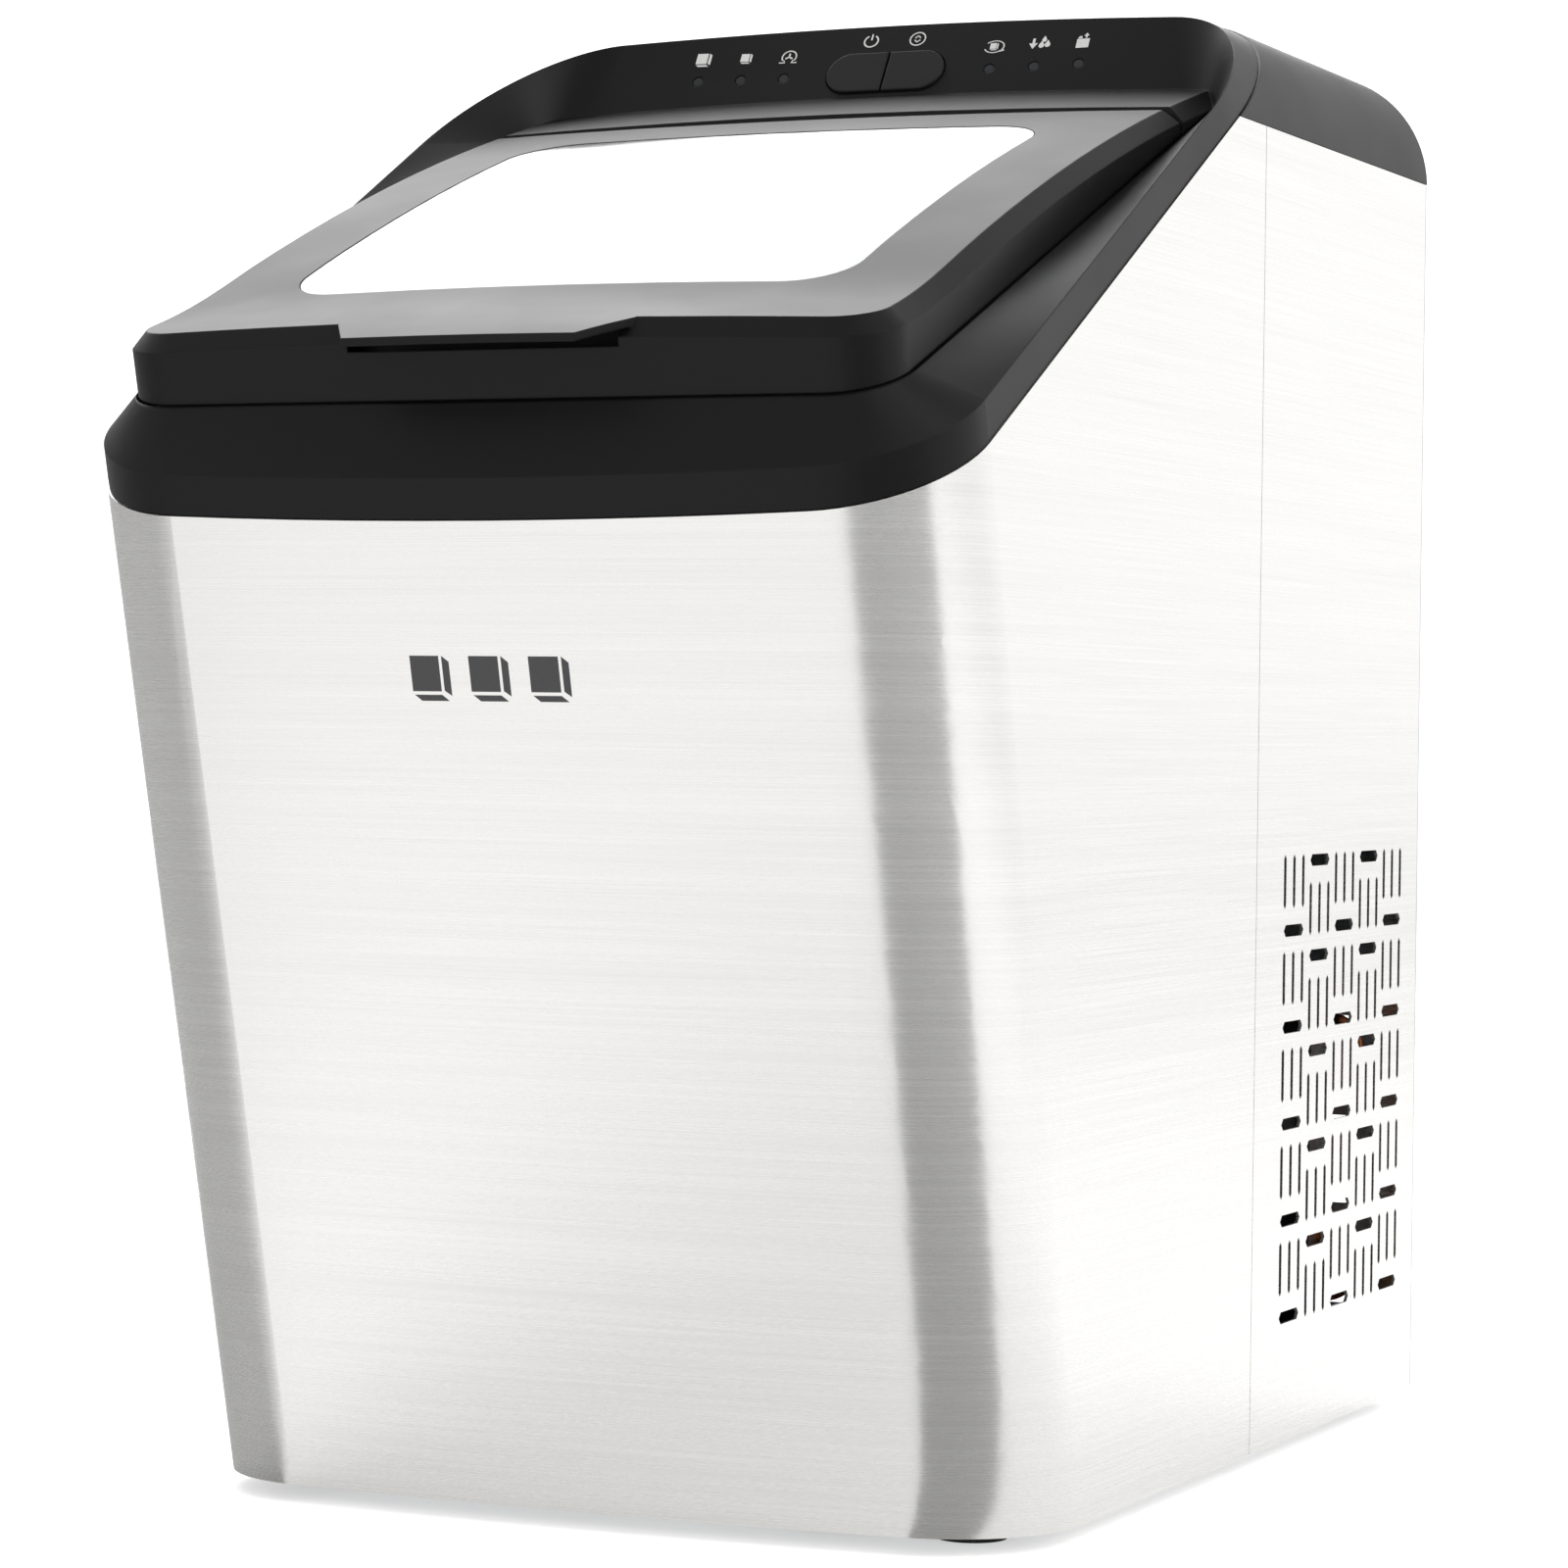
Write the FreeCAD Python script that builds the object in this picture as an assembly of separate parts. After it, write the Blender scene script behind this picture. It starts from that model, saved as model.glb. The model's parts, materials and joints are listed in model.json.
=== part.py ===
import FreeCAD, Part
import math
import os

os.makedirs("parts", exist_ok=True)

V = FreeCAD.Vector

# Millimetres. X is to the right, the rear panel is the plane Y = 0, the front is at negative Y,
# and Z = 0 is the lower edge of the steel. The finished assembly is moved at the end so that the
# origin is the bottom centre of its box.

# cabinet
HALF_WIDTH = 125.0
FRONT_APEX = 340.3
FRONT_LEAN = 0.261
FRONT_CORNER = 38.1
FRONT_BOW = 5.0
ARCH_APEX = 420.9
ARCH_CORNER = 37.2
ARCH_BOW = 3.0
STEEL = 1.0
COVER_WALL = 2.5
SIDE_TOP = 382.4
WRAP_SEAM_Y = -160.4
FOOT_HEIGHT = 5.0
FAR = 460.0

# sloping planes, each as (height, slope, Y where it has that height)
SEAM = (382.4, 0.5503, -184.2)
CREASE = (394.4, 0.5503, -184.2)
RIM = (290.0, 0.412, -401.3)
RIM_BACK = (280.5, 0.438, -401.3)

# black top frame
FRAME_INSET = 0.4
FRAME_WALL = 2.8
RIM_GAP = 0.5
RIM_WALL = 2.5
SEAM_GAP = 0.15
RIM_HALF = 110.0
RIM_FRONT = -401.3
RIM_REAR = -156.0
RIM_CORNER = 17.0
RIM_REAR_CORNER = 12.0
STRIP_FRONT = -189.6
LEDGE_DEPTH = 8.0
LEDGE_THICK = 3.0

# control panel, measured up its slope from the lower edge
PANEL_TILT = 57.7
PANEL_LENGTH = 34.0
PANEL_CROWN = 2.3
PANEL_HALF = 88.0
PANEL_SINK = 0.36
LED_X = (33.5, 47.8, 62.0)
LED_SLOPE = 16.4
LED_RADIUS = 1.7
LED_SUNK = 0.2
BUTTON_HALF = 19.3
BUTTON_HEIGHT = 15.5
BUTTON_SLOPE = 16.8
BUTTON_PROUD = 0.95
BUTTON_GAP = 0.35

# lid
LID_HALF = 109.6
LID_FRONT = -400.9
LID_LEAN = -0.26
LID_SKIN = 4.5
LID_CHAMFER = 4.2
ROOF_FRONT = -388.3
ROOF_HEIGHT = 309.7
ROOF_SLOPE = 0.4797
ROOF_SAG = 0.0005
ROOF_CROWN = 2.0
NOSE_START = -366.0
NOSE_RUN = 10.0
NOSE_BEND = 0.0085
ROOF_HALF = 103.4
HINGE_Y = -199.5
HINGE_Z = 375.5
BARREL = 9.3
PIN = 2.0
FIT = 0.05
WINDOW_HALF = 81.3
WINDOW_FRONT = -366.5
WINDOW_REAR = -218.5
WINDOW_CORNER = 17.0
TONGUE_ROOT = 42.2
TONGUE_TIP = 32.9
TONGUE_ROOT_FRONT = -402.5
TONGUE_FRONT = -417.5
TONGUE_THICK = 2.2
RECESS_HALF = 38.5
RECESS_FLOOR = 302.6
RECESS_REAR = -396.5

# ice chamber
LINER_HALF = 98.0
LINER_FRONT = 322.0
LINER_REAR = -186.0
LINER_FLOOR = 20.0
LINER_WALL = 2.5
DECK_Z = 92.0
BASKET_HALF = 88.0
BASKET_FRONT = 315.0
BASKET_REAR = -284.0
BASKET_FLOOR = 97.0
BASKET_TOP = 235.0
TRAY_PIVOT = (-214.0, 285.0)
EVAPORATOR_Y = -240.0
EVAPORATOR_Z = 324.0
STUB_X = 40.0
DRAIN = (60.0, -300.0)
PUMP = (58.0, -215.0)
HOSE = (76.0, -201.0)
FLOAT_AT = (-75.0, -215.0)

# machine compartment and its vents
BULKHEAD_Y = -182.0
COMPRESSOR = (-66.0, -92.0)
FAN = (56.0, 78.0)
DRIER = (98.0, -152.0)
GLAND = (-95.0, 40.0)
LOZENGE = (18.4, 3.5)
SLOT = (2.3, 16.0)
SLOT_PITCH = 8.5
SLOT_DROP = 14.4
BACK_SCREW_PLACES = [(x, z) for x in (-118, 118) for z in (20, 130, 250, 370)]
COVER_SCREW_X = (-80, 80)
COVER_SCREW_Z = 392.0
FOOT_PLACES = [(x, y) for x in (-95, 95) for y in (-300, -32)]
COMPRESSOR_FEET = [(COMPRESSOR[0] + x, COMPRESSOR[1] + y) for x in (-43, 43) for y in (-43, 43)]
CONDENSER_X = (8.0, 104.0)
CONDENSER_Y = -32.0
CONDENSER_PASSES = [118.0 - 17.0 * n for n in range(6)]


def line(a, b):
    return Part.LineSegment(a, b).toShape()


def arc(a, m, b):
    return Part.Arc(a, m, b).toShape()


def box(x0, x1, y0, y1, z0, z1):
    return Part.makeBox(x1 - x0, y1 - y0, z1 - z0, V(x0, y0, z0))


def cylinder(radius, start, end):
    axis = end - start
    return Part.makeCylinder(radius, axis.Length, start, axis)


def tube(outer, inner, start, end):
    return cylinder(outer, start, end).cut(cylinder(inner, start, end))


def joined(shapes):
    return shapes[0].multiFuse(shapes[1:]).removeSplitter()


def without(shape, cutters):
    return shape.cut(Part.makeCompound(cutters))


def mirrored(shape):
    return shape.mirror(V(0, 0, 0), V(1, 0, 0))


def both_sides(shape):
    return [shape, mirrored(shape)]


def side_profile(points, x0, x1):
    """A straight body along X from a polygon of (y, z) points."""
    corners = [V(x0, y, z) for y, z in points]
    return Part.Face(Part.makePolygon(corners + corners[:1])).extrude(V(x1 - x0, 0, 0))


def plane_z(plane, y):
    height, slope, at = plane
    return height + slope * (y - at)


def under(plane, shift):
    points = [(-FAR, -60), (90, -60)]
    points += [(90, plane_z(plane, 90) + shift), (-FAR, plane_z(plane, -FAR) + shift)]
    return side_profile(points, -200, 200)


def over(plane, shift):
    points = [(-FAR, 700), (90, 700)]
    points += [(90, plane_z(plane, 90) + shift), (-FAR, plane_z(plane, -FAR) + shift)]
    return side_profile(points, -200, 200)


def slab(plane, low, high):
    return under(plane, high).common(over(plane, low))


def bowed_outline(half, apex, corner, bow_degrees, base, place):
    """A straight-sided outline closed by round corners and a slightly bowed end, all tangent."""
    bow = math.radians(bow_degrees)
    end_u = half - corner + corner * math.sin(bow)
    centre_v = apex - end_u / math.sin(bow) * (1 - math.cos(bow)) - corner * math.cos(bow)
    end_v = centre_v + corner * math.cos(bow)
    middle = (math.pi / 2 - bow) / 2
    middle_u = half - corner + corner * math.cos(middle)
    middle_v = centre_v + corner * math.sin(middle)
    edges = [
        line(place(half, base), place(half, centre_v)),
        arc(place(half, centre_v), place(middle_u, middle_v), place(end_u, end_v)),
        arc(place(end_u, end_v), place(0, apex), place(-end_u, end_v)),
        arc(place(-end_u, end_v), place(-middle_u, middle_v), place(-half, centre_v)),
        line(place(-half, centre_v), place(-half, base)),
        line(place(-half, base), place(half, base)),
    ]
    return Part.Face(Part.Wire(edges))


def envelope(inset, rear=0.0):
    """The outside of the whole cabinet, made smaller by the inset."""
    plan = bowed_outline(
        HALF_WIDTH - inset, FRONT_APEX - inset, FRONT_CORNER - inset, FRONT_BOW, -300,
        lambda u, v: V(u, -v, 0))
    arch = bowed_outline(
        HALF_WIDTH - inset, ARCH_APEX - inset, ARCH_CORNER - inset, ARCH_BOW, -30,
        lambda u, v: V(u, -rear, v))
    return plan.extrude(V(0, -FRONT_LEAN * FAR, FAR)).common(arch.extrude(V(0, -FAR, 0)))


def rounded_rectangle(half, front, rear, front_corner, rear_corner, z):
    """A flat rounded rectangle, symmetric about X = 0."""
    def corner(sign_x, y, radius, inward):
        middle = radius * (1 - math.sqrt(0.5))
        start = V(sign_x * half, y + inward * radius, z)
        end = V(sign_x * (half - radius), y, z)
        return start, V(sign_x * (half - middle), y + inward * middle, z), end

    fr = corner(1, front, front_corner, 1)
    fl = corner(-1, front, front_corner, 1)
    rr = corner(1, rear, rear_corner, -1)
    rl = corner(-1, rear, rear_corner, -1)
    edges = [arc(*fr), line(fr[2], fl[2]), arc(*fl), line(fl[0], rl[0])]
    edges += [arc(*rl), line(rl[2], rr[2]), arc(*rr), line(rr[0], fr[0])]
    return Part.Face(Part.Wire(Part.__sortEdges__(edges)))


def upright(half, front, rear, front_corner, rear_corner, z0=0.0, z1=FAR):
    face = rounded_rectangle(half, front, rear, front_corner, rear_corner, z0)
    return face.extrude(V(0, 0, z1 - z0))


def leaning(half, front, rear, corner, z0, z1):
    """An upright tub whose front leans forward with the cabinet, cut flat at the rear."""
    start = -(front + FRONT_LEAN * z0)
    face = rounded_rectangle(half, start, 40, corner, 5, z0)
    body = face.extrude(V(0, -FRONT_LEAN * (z1 - z0), z1 - z0))
    return body.common(box(-200, 200, -FAR, rear, -50, FAR))


def route(points, radius, bend):
    """A round bar along straight runs joined by tangent arcs."""
    edges = []
    start = points[0]
    for before, corner, after in zip(points, points[1:], points[2:]):
        back = (before - corner).normalize()
        ahead = (after - corner).normalize()
        half_angle = back.getAngle(ahead) / 2
        reach = bend / math.tan(half_angle)
        entry = corner + back * reach
        leave = corner + ahead * reach
        bisector = (back + ahead).normalize()
        depth = bend / math.sin(half_angle) - bend
        edges.append(line(start, entry))
        edges.append(arc(entry, corner + bisector * depth, leave))
        start = leave
    edges.append(line(start, points[-1]))
    ring = Part.Wire(Part.makeCircle(radius, points[0], points[1] - points[0]))
    return Part.Wire(edges).makePipeShell([ring], True, True)


def pan_screw(head, shank, direction, radius=1.6):
    """A pan-head screw with a cross recess. The head stands out from its seat."""
    along = direction.normalize()
    body = cylinder(radius, head - along * shank, head)
    cap = cylinder(radius * 2, head, head + along * radius)
    recess = cylinder(radius * 0.5, head + along * radius * 0.4, head + along * radius)
    return body.fuse(cap).cut(recess)


def on_panel(shape, x=0.0, slope=0.0, rise=0.0):
    """Puts a shape drawn flat (X across, Y up the slope, Z outwards) on the control panel."""
    copy = shape.copy()
    copy.translate(V(x, slope, rise - PANEL_SINK))
    copy.rotate(V(0, 0, 0), V(1, 0, 0), PANEL_TILT)
    copy.translate(V(0, RIM_REAR, plane_z(RIM, RIM_REAR)))
    return copy


def panel_rise(x, slope):
    return PANEL_CROWN * (x / PANEL_HALF) ** 2 * slope / PANEL_LENGTH


def roof_z(x, y):
    along = y - ROOF_FRONT
    crown = ROOF_CROWN * (1 - (x / ROOF_HALF) ** 2)
    ahead = max(0.0, NOSE_START - y)
    bent = min(ahead, NOSE_RUN)
    nose = NOSE_BEND * bent * (bent + 2 * (ahead - bent))
    return ROOF_HEIGHT + ROOF_SLOPE * along - ROOF_SAG * along ** 2 + crown + nose


def roof_under(shift):
    """Everything below the lid's crowned top surface."""
    rows = [[V(x, y, roof_z(x, y) + shift) for x in (-130, -65, 0, 65, 130)]
            for y in range(-440, -120, 20)]
    surface = Part.BSplineSurface()
    surface.interpolate(rows)
    return surface.toShape().extrude(V(0, 0, -260))


def loop_angle(edge):
    """Where an edge lies round the lid, counted from between the front and its right corner."""
    middle = edge.valueAt((edge.FirstParameter + edge.LastParameter) / 2)
    return (math.atan2(middle.y + 280, middle.x) + math.radians(70)) % (2 * math.pi)


def loop(body, plane, shift):
    """The eight edges in which a sloping plane cuts a body, in order."""
    corners = [V(x, y, plane_z(plane, y) + shift) for x, y in ((-200, -FAR), (-200, 20), (200, 20), (200, -FAR))]
    cut = Part.Face(Part.makePolygon(corners + corners[:1])).common(body)
    edges = sorted(cut.Faces[0].OuterWire.Edges, key=loop_angle)
    assert len(edges) == 8, len(edges)
    return edges


def ruled(first, second):
    """The ruled face between two matching edges. Straight pairs are drawn again the same way round."""
    if not isinstance(first.Curve, Part.Line) or not isinstance(second.Curve, Part.Line):
        return Part.makeRuledSurface(first, second)
    a, b = (edge.valueAt(edge.FirstParameter) for edge in (first, second))
    c, d = (edge.valueAt(edge.LastParameter) for edge in (first, second))
    if (a - b).Length + (c - d).Length > (a - d).Length + (c - b).Length:
        b, d = d, b
    return Part.makeRuledSurface(line(a, c), line(b, d), 1)


def rim_body(grow):
    return upright(RIM_HALF + grow, RIM_FRONT - grow, RIM_REAR + grow, RIM_CORNER + grow,
                   RIM_REAR_CORNER + grow)


def frame_moulding():
    """The hollow moulding between steel and lid: outer band, sloping top and inner wall."""
    outside = envelope(FRAME_INSET)
    inside = envelope(FRAME_INSET + FRAME_WALL)
    opening = rim_body(RIM_GAP)
    behind = rim_body(RIM_GAP + RIM_WALL)
    deep = -LEDGE_DEPTH - LEDGE_THICK
    loops = [
        loop(outside, SEAM, SEAM_GAP),
        loop(outside, CREASE, 0),
        loop(opening, RIM, 0),
        loop(opening, RIM, deep),
        loop(behind, RIM, deep),
        loop(behind, RIM_BACK, 0),
        loop(inside, CREASE, -4),
        loop(inside, SEAM, SEAM_GAP),
    ]
    faces = []
    for first, second in zip(loops, loops[1:] + loops[:1]):
        faces += [ruled(a, b) for a, b in zip(first, second)]
    shell = Part.Shell(faces)
    shell.sewShape()
    body = Part.Solid(shell)
    return body if body.Volume > 0 else body.reversed()


def fixed_strip():
    """The narrow bar behind the lid, which carries on the lid's section into the panel."""
    rear = -150.5
    low = -LEDGE_DEPTH - LEDGE_THICK + 0.5
    top = lid_walls(RIM_HALF, RIM_FRONT, RIM_CORNER, STRIP_FRONT, rear)
    core = box(-109, 109, STRIP_FRONT, rear, 300, FAR).common(slab(RIM, low, 0.5))
    foot = box(-111.7, 111.7, STRIP_FRONT, rear, 300, FAR).common(slab(RIM, low, -0.4))
    hollow = [(-186, 330), (-162, 330)]
    hollow += [(-162, plane_z(RIM, -162) - 1), (-186, plane_z(RIM, -186) - 1)]
    return joined([top, core, foot]).cut(side_profile(hollow, -104, 104))


def lid_ledge():
    ring = upright(RIM_HALF + 1.7, RIM_FRONT - 1.7, STRIP_FRONT + 2, RIM_CORNER + 1.7, 0.5)
    ring = ring.common(slab(RIM, -LEDGE_DEPTH - LEDGE_THICK + 0.5, -LEDGE_DEPTH))
    return ring.cut(upright(102.5, -394, -216, 14, 8))


def top_frame():
    pieces = [frame_moulding(), lid_ledge(), fixed_strip()]
    for sign in (-1, 1):
        x0, x1 = sorted((sign * 80, sign * 90))
        lug = cylinder(5, V(x0, HINGE_Y, HINGE_Z), V(x1, HINGE_Y, HINGE_Z))
        stem = box(x0, x1, HINGE_Y - 5, HINGE_Y - 1, plane_z(RIM, HINGE_Y) - 10, HINGE_Z)
        pieces.append(lug.fuse(stem))
    for x in (-66, 66):
        for slope in (8, 26):
            pieces.append(on_panel(cylinder(2.2, V(0, 0, -10), V(0, 0, -1.5)), x, slope))
    frame = joined(pieces)
    bores = []
    for sign in (-1, 1):
        start = V(sign * 79, HINGE_Y, HINGE_Z)
        bores.append(cylinder(PIN, start, V(sign * 91, HINGE_Y, HINGE_Z)))
        for x in LED_X:
            bore = cylinder(LED_RADIUS + 0.05, V(0, 0, -9), V(0, 0, 9))
            bores.append(on_panel(bore, sign * x, LED_SLOPE))
    bores.append(on_panel(pill(BUTTON_HALF, BUTTON_HEIGHT, -9, 9), 0, BUTTON_SLOPE))
    return without(frame, bores)


def pill(half, height, z0, z1):
    radius = height / 2
    flat = half - radius
    edges = [
        line(V(-flat, -radius, z0), V(flat, -radius, z0)),
        arc(V(flat, -radius, z0), V(half, 0, z0), V(flat, radius, z0)),
        line(V(flat, radius, z0), V(-flat, radius, z0)),
        arc(V(-flat, radius, z0), V(-half, 0, z0), V(-flat, -radius, z0)),
    ]
    return Part.Face(Part.Wire(edges)).extrude(V(0, 0, z1 - z0))


def button():
    """The right-hand half of the split pill, with a retaining flange behind the panel."""
    cap = pill(BUTTON_HALF - BUTTON_GAP, BUTTON_HEIGHT - 2 * BUTTON_GAP, -5.4, BUTTON_PROUD)
    cap = cap.common(box(BUTTON_GAP, 40, -20, 20, -20, 20))
    rim = [e for e in cap.Edges if e.BoundBox.ZMin > BUTTON_PROUD - 0.01]
    cap = cap.makeFillet(0.5, rim)
    flange = pill(BUTTON_HALF + 1.6, BUTTON_HEIGHT + 3.2, -6.6, -5.4)
    flange = flange.common(box(BUTTON_GAP, 40, -20, 20, -20, 20))
    return cap.fuse(flange).removeSplitter()


def lid_walls(half, front, corner, y0, y1):
    """The lid's leaning front and straight sides under the crowned top, with its chamfer."""
    low = -60
    face = rounded_rectangle(half, front + LID_LEAN * low, -60, corner, 5, RIM[0] + low)
    body = face.extrude(V(0, LID_LEAN * 170, 170))
    body = body.common(over(RIM, 0)).common(box(-200, 200, -FAR, y1, 0, FAR))
    body = body.common(roof_under(0))
    top = max(body.Faces, key=lambda f: f.CenterOfMass.z if f.Area > 8000 else 0)
    rim = [e for e in top.Edges if e.CenterOfMass.y < y1 - 2]
    body = body.makeChamfer(LID_CHAMFER, rim)
    return body.common(box(-200, 200, y0, y1, 0, FAR))


def window_outline(grow, z0=0.0):
    return upright(WINDOW_HALF + grow, WINDOW_FRONT - grow, WINDOW_REAR + grow,
                   WINDOW_CORNER + grow, WINDOW_CORNER + grow, z0)


def trapezoid(root, tip, rear, front):
    points = [V(-root, rear, 0), V(root, rear, 0), V(tip, front, 0), V(-tip, front, 0)]
    return Part.Face(Part.makePolygon(points + points[:1])).extrude(V(0, 0, FAR))


def lid_frame():
    body = lid_walls(LID_HALF, LID_FRONT, RIM_CORNER, -FAR, -190)
    spigot = upright(109.2, -398.8, -190, 16.6, 0.5).common(slab(RIM, -5, 1))
    body = joined([body, spigot])
    barrel = cylinder(BARREL, V(-LID_HALF, HINGE_Y, HINGE_Z), V(LID_HALF, HINGE_Y, HINGE_Z))
    body = body.common(joined([barrel, box(-200, 200, -FAR, HINGE_Y, 0, FAR)]))
    body = body.cut(upright(104, -380, -212, 14, 8).common(roof_under(-LID_SKIN)))
    body = body.cut(window_outline(0.3).cut(roof_under(-2.5)))
    body = body.cut(window_outline(-4))
    tongue_root = trapezoid(TONGUE_ROOT, TONGUE_ROOT, -390, TONGUE_ROOT_FRONT)
    tongue_tip = trapezoid(TONGUE_ROOT, TONGUE_TIP, TONGUE_ROOT_FRONT, TONGUE_FRONT)
    tongue = tongue_root.fuse(tongue_tip).common(roof_under(0)).cut(roof_under(-TONGUE_THICK))
    recess = box(-RECESS_HALF, RECESS_HALF, -FAR, RECESS_REAR, RECESS_FLOOR, FAR)
    recess = recess.common(roof_under(-TONGUE_THICK))
    body = joined([body.cut(recess), tongue])
    cutters = []
    for sign in (-1, 1):
        x0, x1 = sorted((sign * 79.5, sign * 90.5))
        cutters.append(box(x0, x1, HINGE_Y - 5.6, -185, 340, HINGE_Z + 3.4))
        cutters.append(cylinder(5.6, V(x0, HINGE_Y, HINGE_Z), V(x1, HINGE_Y, HINGE_Z)))
        start = V(sign * 73.5, HINGE_Y, HINGE_Z)
        cutters.append(cylinder(PIN + FIT, start, V(sign * 96.5, HINGE_Y, HINGE_Z)))
    return without(body, cutters)


def lid_window():
    return window_outline(0).common(roof_under(-0.15)).cut(roof_under(-2.4))


def lid_gasket():
    outer = upright(108, -397.5, -208.5, 15.5, 6)
    inner = upright(105.2, -394.7, -211.3, 12.7, 4)
    return outer.cut(inner).common(slab(RIM, -7.6, -5))


def hinge_pins():
    pins = [cylinder(PIN, V(x, HINGE_Y, HINGE_Z), V(x + 22, HINGE_Y, HINGE_Z)) for x in (-96, 74)]
    return Part.makeCompound(pins)


def front_wrap():
    shell = envelope(0).cut(envelope(STEEL))
    hem = envelope(0).cut(envelope(4)).common(slab(SEAM, -STEEL, 0))
    flange = envelope(0).cut(envelope(10)).common(box(-200, 200, -FAR, 10, 0, STEEL))
    body = joined([shell, hem, flange]).common(under(SEAM, 0))
    return body.common(box(-200, 200, -FAR, WRAP_SEAM_Y - 0.15, 0, SIDE_TOP))


def vent_cell(y, z, upper):
    """One lozenge slot with its group of three upright slots above or below it."""
    depth = 20
    start = V(HALF_WIDTH - 10, 0, 0)

    def slot(length_y, length_z, at_y, at_z):
        long_y = length_y > length_z
        round_end = min(length_y, length_z) / 2
        reach = max(length_y, length_z) / 2
        points = [(-reach, 0), (-reach + round_end, round_end), (reach - round_end, round_end)]
        points += [(reach, 0), (reach - round_end, -round_end), (-reach + round_end, -round_end)]
        turned = points if long_y else [(q, p) for p, q in points]
        corners = [start + V(0, at_y + p, at_z + q) for p, q in turned]
        return Part.Face(Part.makePolygon(corners + corners[:1])).extrude(V(depth, 0, 0))

    cutters = [slot(*LOZENGE, y, z)]
    for step in (-1, 0, 1):
        cutters.append(slot(*SLOT, y + step * SLOT_PITCH, z + (SLOT_DROP if upper else -SLOT_DROP)))
    return cutters


def side_panel():
    """The right-hand rear side panel, with its vents."""
    shell = envelope(0).cut(envelope(STEEL))
    rear_flange = envelope(0).cut(envelope(12)).common(box(-200, 200, -2.7, -1.5, 0, SIDE_TOP))
    top_hem = envelope(0).cut(envelope(4)).common(box(-200, 200, -FAR, 0, SIDE_TOP - STEEL, SIDE_TOP))
    flange = envelope(0).cut(envelope(10)).common(box(-200, 200, -FAR, 10, 0, STEEL))
    body = joined([shell, rear_flange, top_hem, flange])
    body = body.common(box(0, 200, WRAP_SEAM_Y + 0.15, -1.5, 0, SIDE_TOP))
    cutters = []
    for column in range(5):
        outer_kind = column % 2 == 0
        for row in range(5):
            z = 93.4 + (2 - row) * 28.4 + (0 if outer_kind else 20.3)
            cutters += vent_cell(-125.9 + 24.4 * column, z, outer_kind)
    cutters += [cylinder(1.7, V(x, -4, z), V(x, 1, z)) for x, z in BACK_SCREW_PLACES]
    return without(body, cutters)


def back_panel():
    body = envelope(0.2).common(box(-200, 200, -1.5, 0, 1.2, SIDE_TOP - 0.3))
    cutters = [cylinder(1.7, V(x, -4, z), V(x, 1, z)) for x, z in BACK_SCREW_PLACES]
    for row in range(14):
        z = 26 + row * 8
        for x in (8, 42, 76):
            cutters.append(box(x, x + 29, -4, 2, z, z + 4))
    for row in range(8):
        z = 60 + row * 8
        for x in (-98, -62):
            cutters.append(box(x, x + 31, -4, 2, z, z + 4))
    cutters.append(cylinder(8.1, V(GLAND[0], -4, GLAND[1]), V(GLAND[0], 2, GLAND[1])))
    return without(body, cutters)


def rear_cover():
    shell = envelope(0).cut(envelope(COVER_WALL, COVER_WALL))
    body = shell.common(under(SEAM, -0.15)).common(box(-200, 200, -FAR, 0, SIDE_TOP + 0.2, FAR))
    cutters = [cylinder(1.7, V(x, -4, COVER_SCREW_Z), V(x, 1, COVER_SCREW_Z)) for x in COVER_SCREW_X]
    return without(body, cutters)


def base_pan():
    inside = envelope(STEEL + 0.3, 3)
    floor = inside.common(box(-200, 200, -FAR, 0, STEEL, STEEL + 1.5))
    lip = inside.cut(envelope(STEEL + 1.5, 4.2)).common(box(-200, 200, -FAR, 0, STEEL, 12))
    body = joined([floor, lip])
    cutters = [cylinder(2.1, V(x, y, -2), V(x, y, 9)) for x, y in FOOT_PLACES]
    cutters.append(cylinder(14, V(DRAIN[0], DRAIN[1], -2), V(DRAIN[0], DRAIN[1], 9)))
    return without(body, cutters)


def rubber_feet():
    feet = []
    for x, y in FOOT_PLACES:
        foot = Part.makeCone(9.5, 11, FOOT_HEIGHT + STEEL, V(x, y, -FOOT_HEIGHT))
        recess = cylinder(4.6, V(x, y, -FOOT_HEIGHT - 1), V(x, y, -1.6))
        feet.append(foot.cut(recess).cut(cylinder(2.1, V(x, y, -3), V(x, y, 3))))
    return Part.makeCompound(feet)


def foot_screws():
    screws = []
    for x, y in FOOT_PLACES:
        shank = cylinder(2.0, V(x, y, -1.6), V(x, y, 8))
        head = cylinder(4.2, V(x, y, -3.8), V(x, y, -1.6))
        screws.append(shank.fuse(head).cut(cylinder(1.1, V(x, y, -4), V(x, y, -2.8))))
    return Part.makeCompound(screws)


def back_screws():
    places = [V(x, 0, z) for x, z in BACK_SCREW_PLACES]
    return Part.makeCompound([pan_screw(p, 8, V(0, 1, 0)) for p in places])


def cover_screws():
    places = [V(x, 0, COVER_SCREW_Z) for x in COVER_SCREW_X]
    return Part.makeCompound([pan_screw(p, 8, V(0, 1, 0)) for p in places])


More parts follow.
